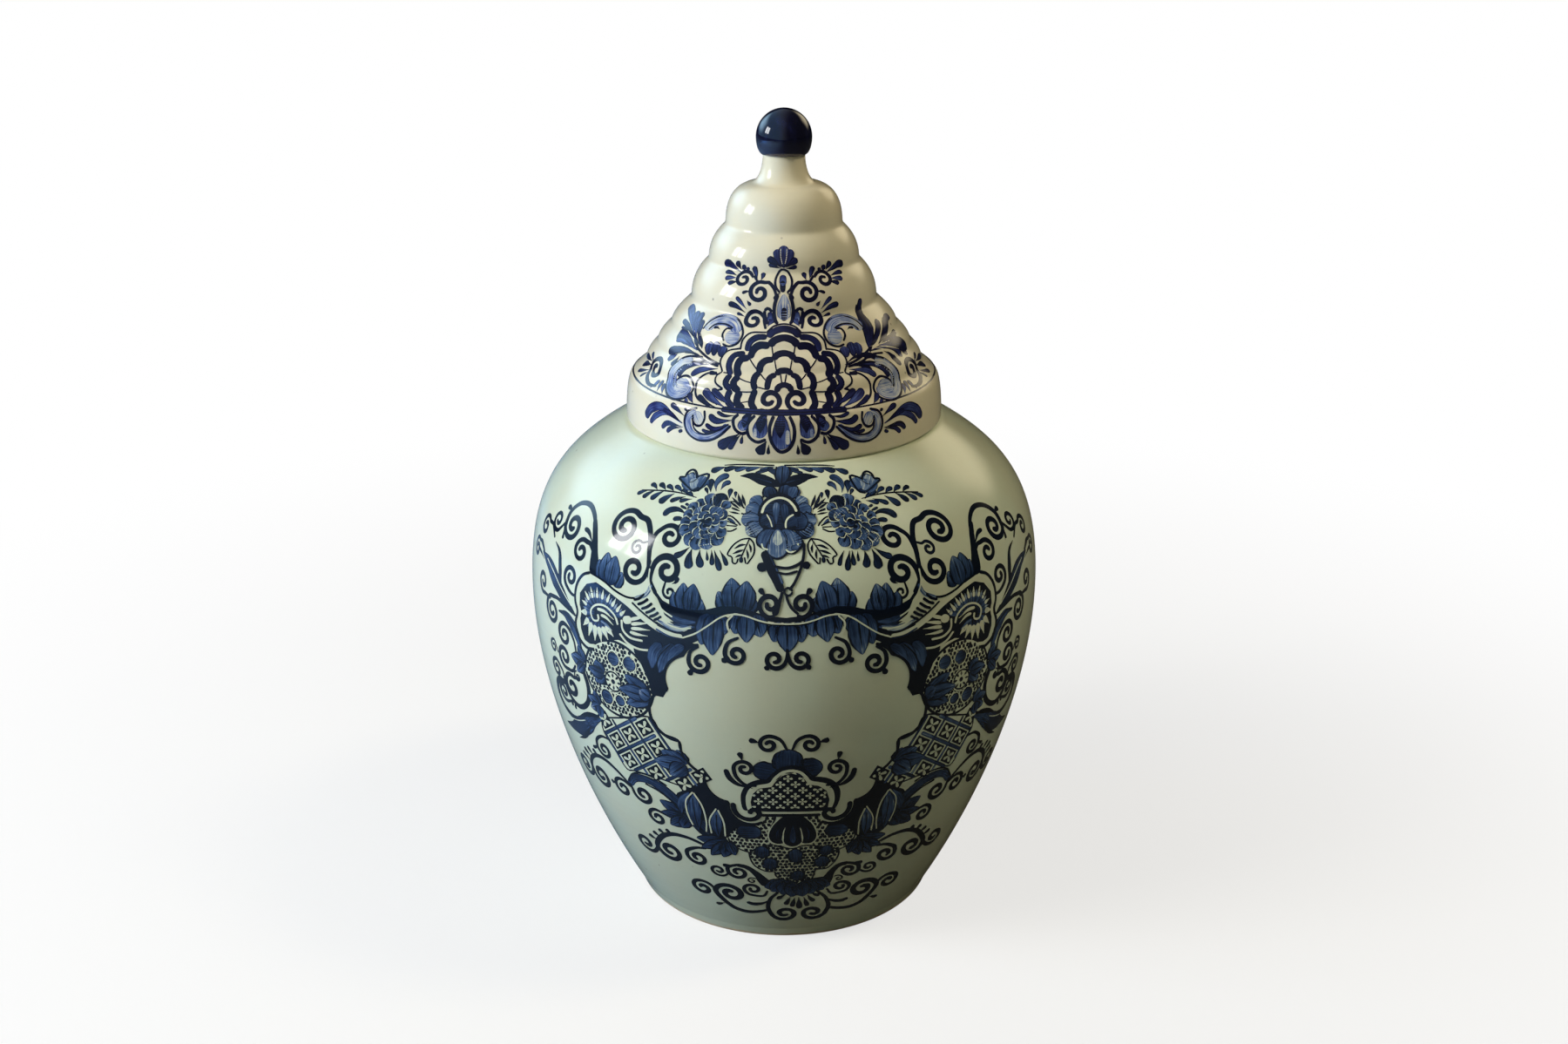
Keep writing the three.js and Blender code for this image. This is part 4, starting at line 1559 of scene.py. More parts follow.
LID_SCROLLS = strokes("""
line pale 5.4 46.8 52.6 43 57 36.4 58.6 29.6 57.4 25.6 53.6
blob 6.4 29.6 51.4 26.8 51.8
line ink 1 48.8 52.4 46.6 56.4 42.6 59.2 36.6 60.6 30.2 60.2 25.2 57.4 22.6 53.2 24.4 49.4 29
 47.6 33 48.2
1 44.4 52.8 41.6 55.6 36 56.6 31.6 56 29.4 55 33.2 54.8 34.4 52 32.4 49.4
comma 1.4 41.6 54 39.6 54.6 37.2 53.8
petal dusk 4.4 38.2 42.4 39.6 45.2 40.4 48.2
4.4 35 42.4 36 45.4 36.4 48.8
4.6 31.2 42.4 31.6 44.8 32 47.4
line ink 1.1 47.6 44.6 42 42.6 36 40.6 30.6 39.4
1 53.4 41 46 41.6 38 39.6 31 38.6
pale 5.6 45.6 38.4 51.2 36.4 53.8 31.6 52.2 26.6 48 24 43.8 25.4 43.4 28.6
blob 6.4 47.8 27.4 45 27.6
line ink 1.1 40.6 41 48 40.2 54 37.6 56.8 32.6 55.8 27 51.4 22.4 46 20.9 41.4 22.8 39.8 26.4
 41.4 30.4 45 32 48.4 30.8 50.6 28.4 48.4 26.4
1 36.4 39.4 44 38.6 49.6 36 52.4 31.6 51.8 28 50.2 26.2
comma dusk 3.2 50 30.6 49 34.4 44.6 37.4 36 38.6
wash 3.2 43.2 32.6 39.4 35.8 31 37.6
ink 2.1 34.6 35.4 31.6 35.4 29 35.2
line 1 30.8 36 35.4 34.8 38.6 31.4 38.8 27.6 35.6 23.8 29 21.2
comma wash 3.6 34.6 28.4 29.8 25 22.6 21.6
dusk 3 30.8 29 26.4 26.2 20.2 22.6
deep 2.4 36 25.4 31.8 22.8 26.4 21.2
dusk 2.6 40.6 25.6 39 23.4 36.4 21.2
wash 1.6 41 22.4 40 21.8 38.6 21
2.3 58.6 27 58.2 24.4 57.4 21.6
2.3 60.8 26.4 61.4 24 62.8 21.6
2.3 56.4 26 55.4 23.8 53.6 21.4
curl ink 2.4 68.2 29.6 5.4 185 -1.6 60 23.4 66 22.8 72 25.4
comma deep 3 86 26.6 81 28.6 74.6 29.8
2.6 88 30.6 82 31 75 31.2
dusk 1.8 80.6 34 77.6 33 74 31.6
2.2 84 23.6 79.6 25.2 75 27.4
1.8 77 22.8 75.8 24.6 73.8 26.4
""")

LEDGE_LINE_UP = 20.9

LOTUS_MIDDLE = strokes("""
petal wash 7.8 -1 20 -1 14 -1 6
blob mist 2.2 1.2 13 1.2 9
leaf ink 4.4 -1 21.4 -1.4 16 -1.4 10.6
line 1.5 -3.8 19.4 -5.2 14.6 -4.6 9.6 -2.6 6 -.6 5 1.8 6.4 3.4 9.8 3.6 14.6 2 19.4
""", RIGHT)
BAND = strokes("""
petal wash 6 6.8 19.2 8.4 14.8 9 10.4
blob mist 1.8 10.4 13.6 10.4 11.4
leaf ink 4.2 6 20.6 8.2 17.2 8.6 12.4
line 1.4 10.6 19.4 13.2 15.6 12.6 11 9.6 8.8 6.4 10
petal wash 4.2 13.2 18.6 14.8 15.4 15.6 13
leaf ink 3.6 11.6 20.2 13.8 17.8 14.6 14.2
line 1.4 16.8 19.4 18.6 17 17.8 13.4 15.4 11.8 13.4 12.4
comma deep 4.4 24 5.2 20.2 8.4 16 11.8
2.7 20 5 18.4 7.8 15.6 11.4
1.6 15.4 7.6 15.2 9.2 14.8 11.6
ink 4.2 9.2 3.8 8 6.2 6.2 9.4
1.6 5.6 4 5.6 5.8 5.4 8
line pale 2.8 33.6 18 36.6 15.6 36.4 11.4 33.8 8.6 29 8.4 24.6 10.6 20.4 14.6
blob mist 4.2 33 16.6 32.2 15
line ink 1.1 30.4 19.2 29.9 16 31.2 13.2 33.4 12.7 34.9 14.4 35 16.8
1.1 33.6 19.6 37.4 17.8 38.6 13.4 37 9.2 33 7 28 7.4 23.6 10 19.4 14.6
.9 35 14.6 34 11.2 30.6 9.7 26 10.9 20.2 15
comma dusk 3 28.2 17.8 25 15.8 18.6 16.8
deep 1.7 25.2 19.4 22 18.2 17.8 18.8
dusk 2.3 29.4 13.8 25.6 12.4 20.2 15.2
deep 1.7 30.8 11.4 28.8 10.9 25.4 11.6
wash 4.4 60.6 9.6 56.8 14.4 50 16.4 39.4 12.4
2.8 57.2 8.2 53.6 12.2 47.6 14.6 39.6 12.2
deep 2.4 49.8 15.6 45.2 14.8 39.4 12.3
2.4 50 8 46.6 10.8 39 10.8
2.1 47.2 7 44.4 9.4 39.6 10.4
dusk 2.5 46.2 18.8 43 17.6 38.8 15.4
blob deep 1.5 40.6 8.8 39.8 9.2
1.3 38.8 18.2 38.4 18
""")


def paint_peony(painting):
    """Large ragged flower on each side of the middle: round petals that point away from its heart."""
    centre = np.array(PEONY_CENTRE)
    for side in sides(True):
        for _, mix, width, x, up in PEONY_PETALS:
            way = np.array([x, up]) - centre
            tip = centre + way + painting.chance.normal(0, PETAL_MISS, 2)
            root = tip - way / np.hypot(*way) * width * 1.15
            petal = np.array([root, 0.5 * (root + tip), tip])
            painting.petal(mix, width, painting.placed(petal, side))
            vein = np.array([0.35 * root + 0.65 * tip, root])
            painting.stroke("comma", "deep", 1.1, painting.placed(vein, side))
        for dx, up in ((-1.6, 0.4), (1.4, 1.2), (0.2, -1.6)):
            heart = np.array([centre + (dx - 0.4, up), centre + (dx + 0.4, up)])
            painting.stroke("blob", "ink", 1.8, painting.placed(heart, side))


def paint_top(painting):
    """Garland under the lid, sprigs, peonies, the middle flower and its cone-shaped vase."""
    painting.draw(TOP_GARLAND)
    painting.draw(TOP_GARLAND_MIDDLE, both=False)
    painting.draw(SPRIGS)
    painting.draw(FERNS)
    painting.draw(OPEN_FLOWER)
    paint_peony(painting)
    painting.draw(MIDDLE_FLOWER)
    painting.draw(MIDDLE_BLOOM, both=False)
    painting.draw(VASE, both=False)


def paint_medallions(painting):
    """Dark grounds beside the cartouche with shell fans reserved in the glaze, and petals over its edge."""
    for one, other in MEDALLION_GROUNDS:
        painting.patches(one, other, rows=70, columns=14)
    painting.layer = 1
    hub = np.array([-80.0, 166.5])
    rays = np.array(FAN_RAYS)
    between = np.delete(0.5 * (rays[1:] + rays[:-1]), 9, 0)
    for number, (x0, up0, x1, up1) in enumerate(np.vstack([between, rays])):
        mix, width, reach = ("mist", 1.6, 0.6) if number < len(between) else ("bare", 1.7, 0.82)
        if number >= len(between) and up1 < up0:
            width, reach = 2.7, 1.0
        root, tip = np.array([x0, up0]), np.array([x1, up1])
        for side in sides(True):
            wash = np.array([hub + 0.35 * (root - hub), root, root + 0.45 * (tip - root)])
            ray = np.array([root, root + 0.5 * reach * (tip - root), root + reach * (tip - root)])
            painting.stroke("petal", "wash", 2.2, painting.placed(wash, side))
            painting.stroke("comma", mix, width, painting.placed(ray, side))
    painting.draw(MEDALLION_LINES)
    painting.draw(MEDALLION_PETALS)
    for edge, width in (
        (CARTOUCHE_SIDE, 1.4), (CARTOUCHE_LATTICE, 1.1), (CARTOUCHE_UPPER, 1.3), (CARTOUCHE_LOWER, 1.3),
    ):
        for side in sides(True):
            painting.stroke("line", "ink", width, painting.placed(edge, side), smooth=False)


def paint_cornice(painting):
    """Wavy cornice over the cartouche, its pale bands with hatching, fans of petals and hanging curls."""
    painting.fan("""
wash .6 18.6 178.6 26.6 186 4.8 12 185 5.2 21.4 191.6 7.2 15 190.8 7
wash .6 38.6 176.4 45.4 183.6 4.4 33.2 182.4 5.2 41.4 187.6 5.8 37 187.8 6
wash .6 77.8 179.8 84.6 188.4 4.6 70.8 186.4 4.8 80.6 192.2 6.4 76 191.8 6.8
""")
    painting.patches(*CORNICE_WAVE, rows=90, columns=8)
    painting.draw(CORNICE)
    painting.fan("""
wash .6 26.4 177 32.6 164.2 6.4 24.2 168.6 5.4 28 160.4 7.2
wash .6 14.4 178 19.4 170 6 9 169.2 6.6 14.6 166.8 6.2
""")
    painting.fan("wash .6 1.3 175.4 -4.2 167.4 5.8 7 167.2 5.8 1.2 163 7", both=False)
    painting.layer = 1
    painting.draw(CORNICE_BAND)
    painting.draw(PENDANT_CURLS)


def paint_sides(painting):
    """Long curling scrolls on both sides."""
    painting.draw(UPPER_SCROLLS)
    painting.draw(SIDE_VINES)
    painting.fan("""
wash 0 91.4 141.8 95 148.6 4.4 100.6 142.4 5 97 136.2 4.2
wash 0 84.4 124.6 86.6 131 4.2 91.4 127 4.4 90.6 121.6 4 85 118.6 4.6
""")


def paint_oval(painting):
    """Stippled ovals with flowers between the medallions and the lattice."""
    for side in sides(True):
        painting.stroke("line", "ink", 1.3, painting.placed(OVAL, side), smooth=False)
    painting.dots(OVAL.mean(0) + (OVAL - OVAL.mean(0)) * 0.95, 2.0, 1.65)
    painting.layer = 1
    for x, up, size in OVAL_DISCS:
        for side in sides(True):
            disc = np.array([(x - 0.3, up), (x + 0.3, up)])
            for mix, width in (("bare", size + 1.5), ("ink", size + 0.7), ("wash", size)):
                painting.stroke("blob", mix, width, painting.placed(disc, side))
    painting.draw(OVAL_FLOWERS)
    painting.fan("""
wash 0 79.2 140.8 83.6 146 5.6 84.4 136 5.2 88.4 141.2 4.6
wash 0 55.6 137 67.4 144.4 6 67.4 131.2 5.8 71 137.4 5.8 60.6 139.4 5.6
""")


def paint_lattice(painting):
    """Slanted lattice of bands. Each cell is a dark square with a cross of four petals reserved in it."""
    corner, right, down = np.array([(-68.7, 115.8), (8.6, 6.0), (5.3, -8.3)])
    panel = LATTICE_PANEL
    closed = np.vstack([panel, panel[:1]]).ravel()
    painting.draw([("line", "ink", 0.9, *closed)])
    for i in range(-8, 9):
        for way, other, width in ((right, down, 1.8), (down, right, 1.4)):
            through = corner + (i + 0.5) * other
            painting.clipped("wash", width, through - 8 * way, through + 8 * way, panel)
    middle = panel.mean(0)
    inner = middle + (panel - middle) * 0.96
    cells = [corner + i * right + j * down for i in range(-8, 9) for j in range(-8, 9)]
    cells = [cell for cell in cells if inside(cell[None], inner)[0]]
    for cell in cells:
        one = np.array([cell - 0.35 * right - 0.35 * down, cell + 0.35 * right - 0.35 * down])
        other = np.array([cell - 0.35 * right + 0.35 * down, cell + 0.35 * right + 0.35 * down])
        painting.patches(one, other, rows=4, columns=2)
    painting.layer = 1
    for cell in cells:
        for side in sides(True):
            for reach in (right + down, right - down, -right - down, down - right):
                petal = np.array([cell + 0.02 * reach, cell + 0.23 * reach])
                painting.stroke("petal", "bare", 1.55, painting.placed(petal, side), smooth=False)
    painting.fan("wash 0 42.4 107.6 45.6 114.6 5 53 112.6 7.4 57.6 106.4 6.6 50.4 100.6 6.8")


def paint_dome(painting):
    """Small diapered dome under the cartouche with its crown, bars, curls and the tulip hanging from it."""
    inner = DOME_INNER
    painting.patch(inner[:8], inner[7:][::-1], rows=30, columns=14)
    for mix, more in (("ink", 0.6), ("dusk", 0.0)):
        painting.stroke("blob", mix, 9.2 + more, ((-9.2, 109.2), (-5.0, 108.4)))
        painting.stroke("blob", mix, 9.6 + more, ((8.4, 110.2), (11.8, 110.6)))
    for mix, more in (("ink", 0.6), ("dusk", 0.0)):
        painting.stroke("blob", mix, 12.6 + more, ((1.5, 113.4), (1.5, 114.6)))
    painting.stroke("line", "ink", 2.9, DOME_OUTER)
    gap = 0.5 * (inner + np.vstack([DOME_OUTER[:4], DOME_OUTER[5:12], DOME_OUTER[13:]]))
    painting.stroke("line", "bare", 1.5, gap)
    painting.stroke("line", "ink", 1.9, ((-14.6, 87.8), (2.0, 88.0), (19.6, 87.6)))
    painting.stroke("line", "ink", 1.8, ((-10.4, 84.8), (3.0, 85.0), (16.4, 84.6)))
    painting.layer = 1
    low, high = inner.min(0), inner.max(0)
    for row, up in enumerate(np.arange(low[1] + 1.9, high[1], 3.15)):
        for x in np.arange(low[0] + 0.4 + 3.2 * (row % 2), high[0], 6.4):
            for ray in np.array([(1.15, 0), (0, 1), (-1.15, 0), (0, -1)]):
                petal = np.vstack([(x, up) + 1.75 * ray, (x, up) + 0.1 * ray])
                if inside(petal[:1], (3, 95) + (inner - (3, 95)) * 0.97)[0]:
                    painting.stroke("comma", "bare", 1.3, petal, smooth=False)
    painting.draw(DOME_CURLS)
    painting.draw(TULIP, both=False)


def paint_stipple(painting):
    """Stippled apron round the tulip with its discs."""
    for outline, both in ((STIPPLE_SIDE, True), (STIPPLE_MIDDLE, False)):
        closed = np.vstack([outline, outline[:1]]).ravel()
        painting.draw([("line", "ink", 0.9, *closed)], both=both)
        middle = outline.mean(0)
        painting.dots(middle + (outline - middle) * 0.99, 2.3, 1.75, both=both)
    painting.layer = 1
    painting.draw(STIPPLE_FLOWERS, both=False)


def paint_lower(painting):
    """Leaves under the lattice, the scrolls below them and the fan-shaped leaf that ends the painting."""
    painting.fan("dusk 0 45.6 77 59.6 84 6.4 61 76.6 5 57 70.4 5.6 50.4 70.4 5")
    painting.draw(LOWER_SCROLLS)
    painting.fan("dusk 0 27 67 43.6 66.4 5.6 42 60.6 5 37.6 56.6 4.6 31 56.6 5 24.6 58.8 4.4")
    for way in (-1, 1):
        for root, reach, up, width in (
            (6.0, 18.4, 38.4, 8.6), (4.0, 14.6, 35.4, 8.6), (1.5, 8.6, 33.2, 8.6), (0.4, 3.2, 31.6, 8.0),
        ):
            leaf = [(7.5 + way * root, 41.6), (7.5 + way * (root + reach) / 2, 40.0), (7.5 + way * reach, up)]
            painting.stroke("lobe", "ink", width + 0.8, leaf)
            painting.stroke("lobe", "dusk", width, leaf)
    painting.layer = 1
    painting.draw(BOTTOM_RAYS, both=False)


def paint_shell(painting):
    """Rings of the shell in the middle of the lid, the teardrops over it and the bud above them."""
    painting.draw(SHELL_RINGS)
    painting.draw(SHELL_MIDDLE, both=False)
    painting.draw(TEARDROPS, both=False)


def paint_lid_sides(painting):
    """Scrolls, plumes and leaves on both sides of the lid, and the line along the ledge."""
    painting.draw(LID_INNER)
    painting.draw(PLUMES_LEFT, both=False)
    painting.draw(PLUMES_RIGHT, both=False)
    painting.draw(LID_SCROLLS)
    turns = np.linspace(0, 2 * math.pi * LID_RING, 9)
    for start, end in zip(turns, turns[1:]):
        ring = np.stack([np.linspace(start, end, 40), np.full(40, LEDGE_LINE_UP)], 1)
        painting.stroke("line", "deep", 0.8, ring, smooth=False)


def paint_band(painting):
    """Lotus petals, scrolls and fans on the lid's skirt."""
    painting.draw(LOTUS_MIDDLE, both=False)
    painting.draw(BAND)


# Pottery

# Points of the round corners, and the radius of a ring of points in the middle of the floor
FLOOR_CORNER_POINTS = 12
RUBBED_POINTS = 6
RIM_POINTS = 10
CROWN_POINTS = 14
KNOB_POINTS = (60, 80)
FLOOR_RING = 30

# How far the foot's two lower edges are rubbed round, and the room over the collar's rim in the lid
FOOT_RUB = (0.7, 0.9, 0.0, 0.0)
RIM_ROOM = 1.0

# Millimetres between the rows of the lid and the knob
LID_STEP = 0.5


def jar_profile(fine):
    """Outline of the jar's wall from the middle of its underside, up the outside, over the seat and down the
    inside to the middle of its floor."""
    outer = jar_outline()[1:]
    face = respaced(outer, fine)
    inner = inset(outer, JAR_WALL)
    corner_top = FLOOR_HEIGHT + FLOOR_CORNER
    inner = respaced(inner[(inner[:, 1] > corner_top) & (inner[:, 0] > NECK_BORE)], 2 * fine)
    corner = quarter((inner[0, 0] - FLOOR_CORNER, FLOOR_HEIGHT), inner[0], FLOOR_CORNER_POINTS)
    throat = bezier(((NECK_BORE, SEAT_HEIGHT), (NECK_BORE, inner[-1, 1])), RUBBED_POINTS)
    return np.vstack([
        [(0, FOOT_HEIGHT), (FLOOR_RING, FOOT_HEIGHT)],
        face,
        throat,
        inner[::-1],
        corner[::-1],
        [(FLOOR_RING, FLOOR_HEIGHT), (0, FLOOR_HEIGHT)],
    ])


def foot_profile():
    """The turned foot ring with its edges rubbed round."""
    corners = np.array([
        (FOOT_BORE, 0), (FOOT_RADIUS, 0), (FOOT_TOP_RADIUS, FOOT_HEIGHT), (FOOT_BORE, FOOT_HEIGHT),
    ])
    points = []
    for i, (corner, size) in enumerate(zip(corners, FOOT_RUB)):
        if size:
            start, end = (
                corner + (other - corner) / np.hypot(*(other - corner)) * size
                for other in (corners[i - 1], corners[i + 1])
            )
            points.append(bezier((start, corner, end), RUBBED_POINTS))
        else:
            points.append([corner])
    return np.vstack(points)


def collar_profile():
    """The neck collar, whose rim is a half round."""
    rim = (NECK_RADIUS - NECK_BORE) / 2
    top = (NECK_RADIUS - rim, SEAT_HEIGHT + NECK_HEIGHT)
    start = SEAT_HEIGHT + NECK_HEIGHT - rim
    return np.vstack([
        [(NECK_BORE, SEAT_HEIGHT), (NECK_RADIUS, SEAT_HEIGHT)],
        quarter((NECK_RADIUS, start), top, RIM_POINTS, False),
        quarter(top, (NECK_BORE, start), RIM_POINTS),
    ])


def lid_profile():
    """Outline of the lid from the dome inside it, down its inner cone and bore, and up over the steps."""
    lips = lid_lips()
    top = lips[-1]
    stem_base = LEDGE_HEIGHT + BRIM_RISE + STEPS_HEIGHT
    dome = quarter((top[0] - LID_WALL, top[1]), (0, stem_base - CROWN_THICKNESS), CROWN_POINTS, False)
    cone = lips - (LID_WALL, 0)
    bore_top = NECK_HEIGHT + RIM_ROOM
    inner = np.vstack([dome[::-1], cone[::-1][1:], [(SKIRT_BORE, bore_top), (SKIRT_BORE, 0)]]) + (0, LID_BASE)
    outer = respaced(lid_outline(), LID_STEP)
    return np.vstack([inner, outer, [(0, outer[-1, 1])]])


def knob_profile():
    """Ball whose underside is drawn in to the stem."""
    stem_top = LID_BASE + LEDGE_HEIGHT + BRIM_RISE + STEPS_HEIGHT + STEM_HEIGHT
    middle = stem_top + KNOB_DEPTH
    under = quarter((STEM_RADIUS, stem_top), (KNOB_RADIUS, middle), KNOB_POINTS[0])
    over = quarter((KNOB_RADIUS, middle), (0, middle + KNOB_RADIUS), KNOB_POINTS[1], False)
    ball = respaced(without_repeats(np.vstack([under, over])), LID_STEP)
    ball[-1, 0] = 0
    return np.vstack([[(0, stem_top)], ball])


def linear(colour):
    """Scene-linear value of a colour written as 0 to 255 for a screen."""
    return tuple(((c / 255 + 0.055) / 1.055) ** 2.4 if c > 10 else c / 255 / 12.92 for c in colour)


# Settings

def colour_setting(name, description, default):
    """A colour swatch that starts at a colour written as 0 to 255."""
    return FloatVectorProperty(
        name=name, description=description, default=linear(default), subtype="COLOR", min=0.0, max=1.0,
    )


def power_setting(name, description, default):
    """The power of a lamp."""
    return FloatProperty(name=name, description=description, default=default, min=0.0, unit="POWER")


class PotterySettings(bpy.types.PropertyGroup):
    """Glazes, clay and fineness of the pottery."""

    jar_glaze: colour_setting("Jar glaze", "Greenish white of the jar's tin glaze", (211, 222, 201))
    jar_warm: colour_setting("Jar glaze, warm", "Where the jar's glaze lies over buff clay", (214, 218, 192))
    lid_glaze: colour_setting("Lid glaze", "Creamy white of the lid's tin glaze", (227, 223, 202))
    lid_warm: colour_setting("Lid glaze, warm", "Where the lid's glaze lies over buff clay", (231, 221, 193))
    clay: colour_setting("Clay", "Bare fired clay of the standing edge", (203, 181, 148))
    segments: IntProperty(
        name="Segments", description="Sides of the round shapes", default=288, min=32, max=512,
    )
    outline_step: FloatProperty(
        name="Outline step", description="Distance between the rows of a wall", default=0.0015, min=0.0005,
        max=0.01, unit="LENGTH", precision=4,
    )


class PaintSettings(bpy.types.PropertyGroup):
    """Cobalt colours and thickness of the painting."""

    jar_pale: colour_setting("Jar, pale wash", "Thinnest cobalt on the jar", (130, 152, 176))
    jar_mid: colour_setting("Jar, wash", "Thin cobalt on the jar", (66, 92, 134))
    jar_deep: colour_setting("Jar, deep", "Thick cobalt on the jar", (34, 52, 84))
    jar_ink: colour_setting("Jar, line", "Outlines on the jar", (15, 23, 38))
    lid_pale: colour_setting("Lid, pale wash", "Thinnest cobalt on the lid", (152, 174, 212))
    lid_mid: colour_setting("Lid, wash", "Thin cobalt on the lid", (78, 96, 156))
    lid_deep: colour_setting("Lid, deep", "Thick cobalt on the lid", (38, 44, 94))
    lid_ink: colour_setting("Lid, line", "Outlines on the lid", (22, 23, 50))
    paint_lift: FloatProperty(
        name="Paint height", description="Height of a stroke over the glaze", default=0.00008, min=0.00002,
        max=0.0005, unit="LENGTH", precision=5,
    )
    with_painting: BoolProperty(
        name="Painting", description="Paint the jar and the lid", default=True,
    )


class StageSettings(bpy.types.PropertyGroup):
    """Lamps, floor and camera."""

    key_power: power_setting("Key lamp", "Power of the soft lamp at the left", 19.6)
    side_power: power_setting("Side lamp", "Power of the blue lamp at the far left", 9.5)
    window_power: power_setting("Window", "Power of the window that the glaze mirrors at the left", 7.0)
    sky_power: power_setting("Sky", "Power of the bright sky that the left side mirrors", 11.0)
    garden_power: power_setting("Garden", "Power of the warm light that the right side mirrors", 5.0)
    front_power: power_setting("Front lamp", "Power of the weak lamp in front", 1.4)
    fill_power: power_setting("Fill lamp", "Power of the weak lamp at the right", 8.9)
    world_light: FloatProperty(
        name="World light",
        description="Strength of the even light from all sides",
        default=0.035,
        min=0.0,
        max=2.0,
    )
    lens: FloatProperty(
        name="Lens",
        description="Focal length for a 36 mm wide sensor",
        default=43.08,
        min=10.0,
        unit="CAMERA",
    )


def settings_of(context, group):
    """The named group of settings of the scene."""
    return getattr(context.scene, "lidded_jar_" + group)


def colours_of(context, group, pot, keys):
    """The group's colours of the jar or the lid."""
    return [tuple(getattr(settings_of(context, group), pot + key)) for key in keys]


def glazes_of(context, pot):
    """Glaze of the jar or the lid, and its warm tint."""
    return colours_of(context, "pottery", pot, ("_glaze", "_warm"))


def inks_of(context, pot):
    """Cobalt of the jar or the lid, from the thinnest to the thickest."""
    return colours_of(context, "paint", pot, ("_pale", "_mid", "_deep", "_ink"))


# Operators

class OBJECT_OT_jar_pottery(bpy.types.Operator):
    """Throws the jar: wall, foot ring and neck collar"""

    bl_idname = "lidded_jar.jar_pottery"
    bl_label = "Jar pottery"
    bl_options = {"REGISTER", "UNDO"}

    def execute(self, context):
        pots = settings_of(context, "pottery")
        # The jar's glaze gets a painted shade towards the bottom
        glaze = glaze_finish("Jar glaze", *glazes_of(context, "jar"), 0.25)
        wall = revolved("jar_wall", glaze, jar_profile(pots.outline_step * TO_MILLIMETRES), pots.segments)
        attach(wall, "jar")
        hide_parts("jar_body")
        edge = foot_finish("Foot edge", *glazes_of(context, "jar"), tuple(pots.clay))
        foot = revolved("jar_foot", edge, foot_profile(), pots.segments, closed=True)
        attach(foot, "jar")
        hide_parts("foot_ring")
        collar = revolved("jar_collar", glaze, collar_profile(), pots.segments, closed=True)
        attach(collar, "jar")
        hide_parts("neck_collar")
        return {"FINISHED"}


class OBJECT_OT_lid_pottery(bpy.types.Operator):
    """Throws the lid and its knob"""

    bl_idname = "lidded_jar.lid_pottery"
    bl_label = "Lid pottery"
    bl_options = {"REGISTER", "UNDO"}

    def execute(self, context):
        pots = settings_of(context, "pottery")
        glaze = glaze_finish("Lid glaze", *glazes_of(context, "lid"))
        shell = revolved("lid_wall", glaze, lid_profile(), pots.segments * 2 // 3)
        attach(shell, "lid")
        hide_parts("lid_shell")
        cobalt = knob_finish("Knob cobalt", inks_of(context, "lid"))
        knob = revolved("lid_ball", cobalt, knob_profile(), pots.segments // 3)
        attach(knob, "lid")
        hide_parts("lid_knob")
        return {"FINISHED"}


class OBJECT_OT_jar_painting(bpy.types.Operator):
    """Paints the jar in cobalt"""

    bl_idname = "lidded_jar.jar_painting"
    bl_label = "Jar painting"
    bl_options = {"REGISTER", "UNDO"}

    def execute(self, context):
        finish = cobalt_finish("Jar cobalt", *glazes_of(context, "jar"), inks_of(context, "jar"))
        painting = Painting(JAR_WALL_FACE, settings_of(context, "paint"), jar_lean, seed=11)
        for paint, name in (
            (paint_medallions, "medallion_painting"),
            (paint_oval, "oval_painting"),
            (paint_lattice, "lattice_painting"),
            (paint_dome, "dome_painting"),
            (paint_stipple, "stipple_painting"),
            (paint_cornice, "cornice_painting"),
            (paint_sides, "side_scroll_painting"),
            (paint_lower, "lower_scroll_painting"),
            (paint_top, "garland_painting"),
        ):
            paint(painting)
            painting.piece(name, finish, "jar")
        return {"FINISHED"}


class OBJECT_OT_lid_painting(bpy.types.Operator):
    """Paints the lid in cobalt"""

    bl_idname = "lidded_jar.lid_painting"
    bl_label = "Lid painting"
    bl_options = {"REGISTER", "UNDO"}

    def execute(self, context):
        finish = cobalt_finish("Lid cobalt", *glazes_of(context, "lid"), inks_of(context, "lid"))
        painting = Painting(LID_WALL_FACE, settings_of(context, "paint"), lid_lean, seed=5)
        for paint, name in (
            (paint_shell, "lid_shell_painting"),
            (paint_lid_sides, "lid_scroll_painting"),
            (paint_band, "lid_band_painting"),
        ):
            paint(painting)
            painting.piece(name, finish, "lid")
        return {"FINISHED"}


# Camera in metres, as fitted to the object's outline
SENSOR_WIDTH = 36.0
CAMERA_PLACE = (-0.00038, -0.7624, 0.4585)
CAMERA_AIM = (0.0, 0.0, 0.1671)
SIGHT = 50.0

# Colours of the lamps
WHITE = (1.0, 1.0, 0.94)
PALE = (0.97, 0.99, 1.0)
BLUE = (0.48, 0.76, 1.0)
AZURE = (0.14, 0.46, 1.0)
LEAFY = (0.95, 1.0, 0.72)
WARM = (1.0, 0.86, 0.58)

# Floor and backdrop in metres: front and back edge, radius of the curve between them, height and half width
FLOOR_FRONT = -3.0
FLOOR_BACK = 7.0
SWEEP = 1.5
FLOOR_POINTS = 21
SWEEP_POINTS = 12
BACKDROP_HEIGHT = 6.0
BACKDROP_REACH = 9.0


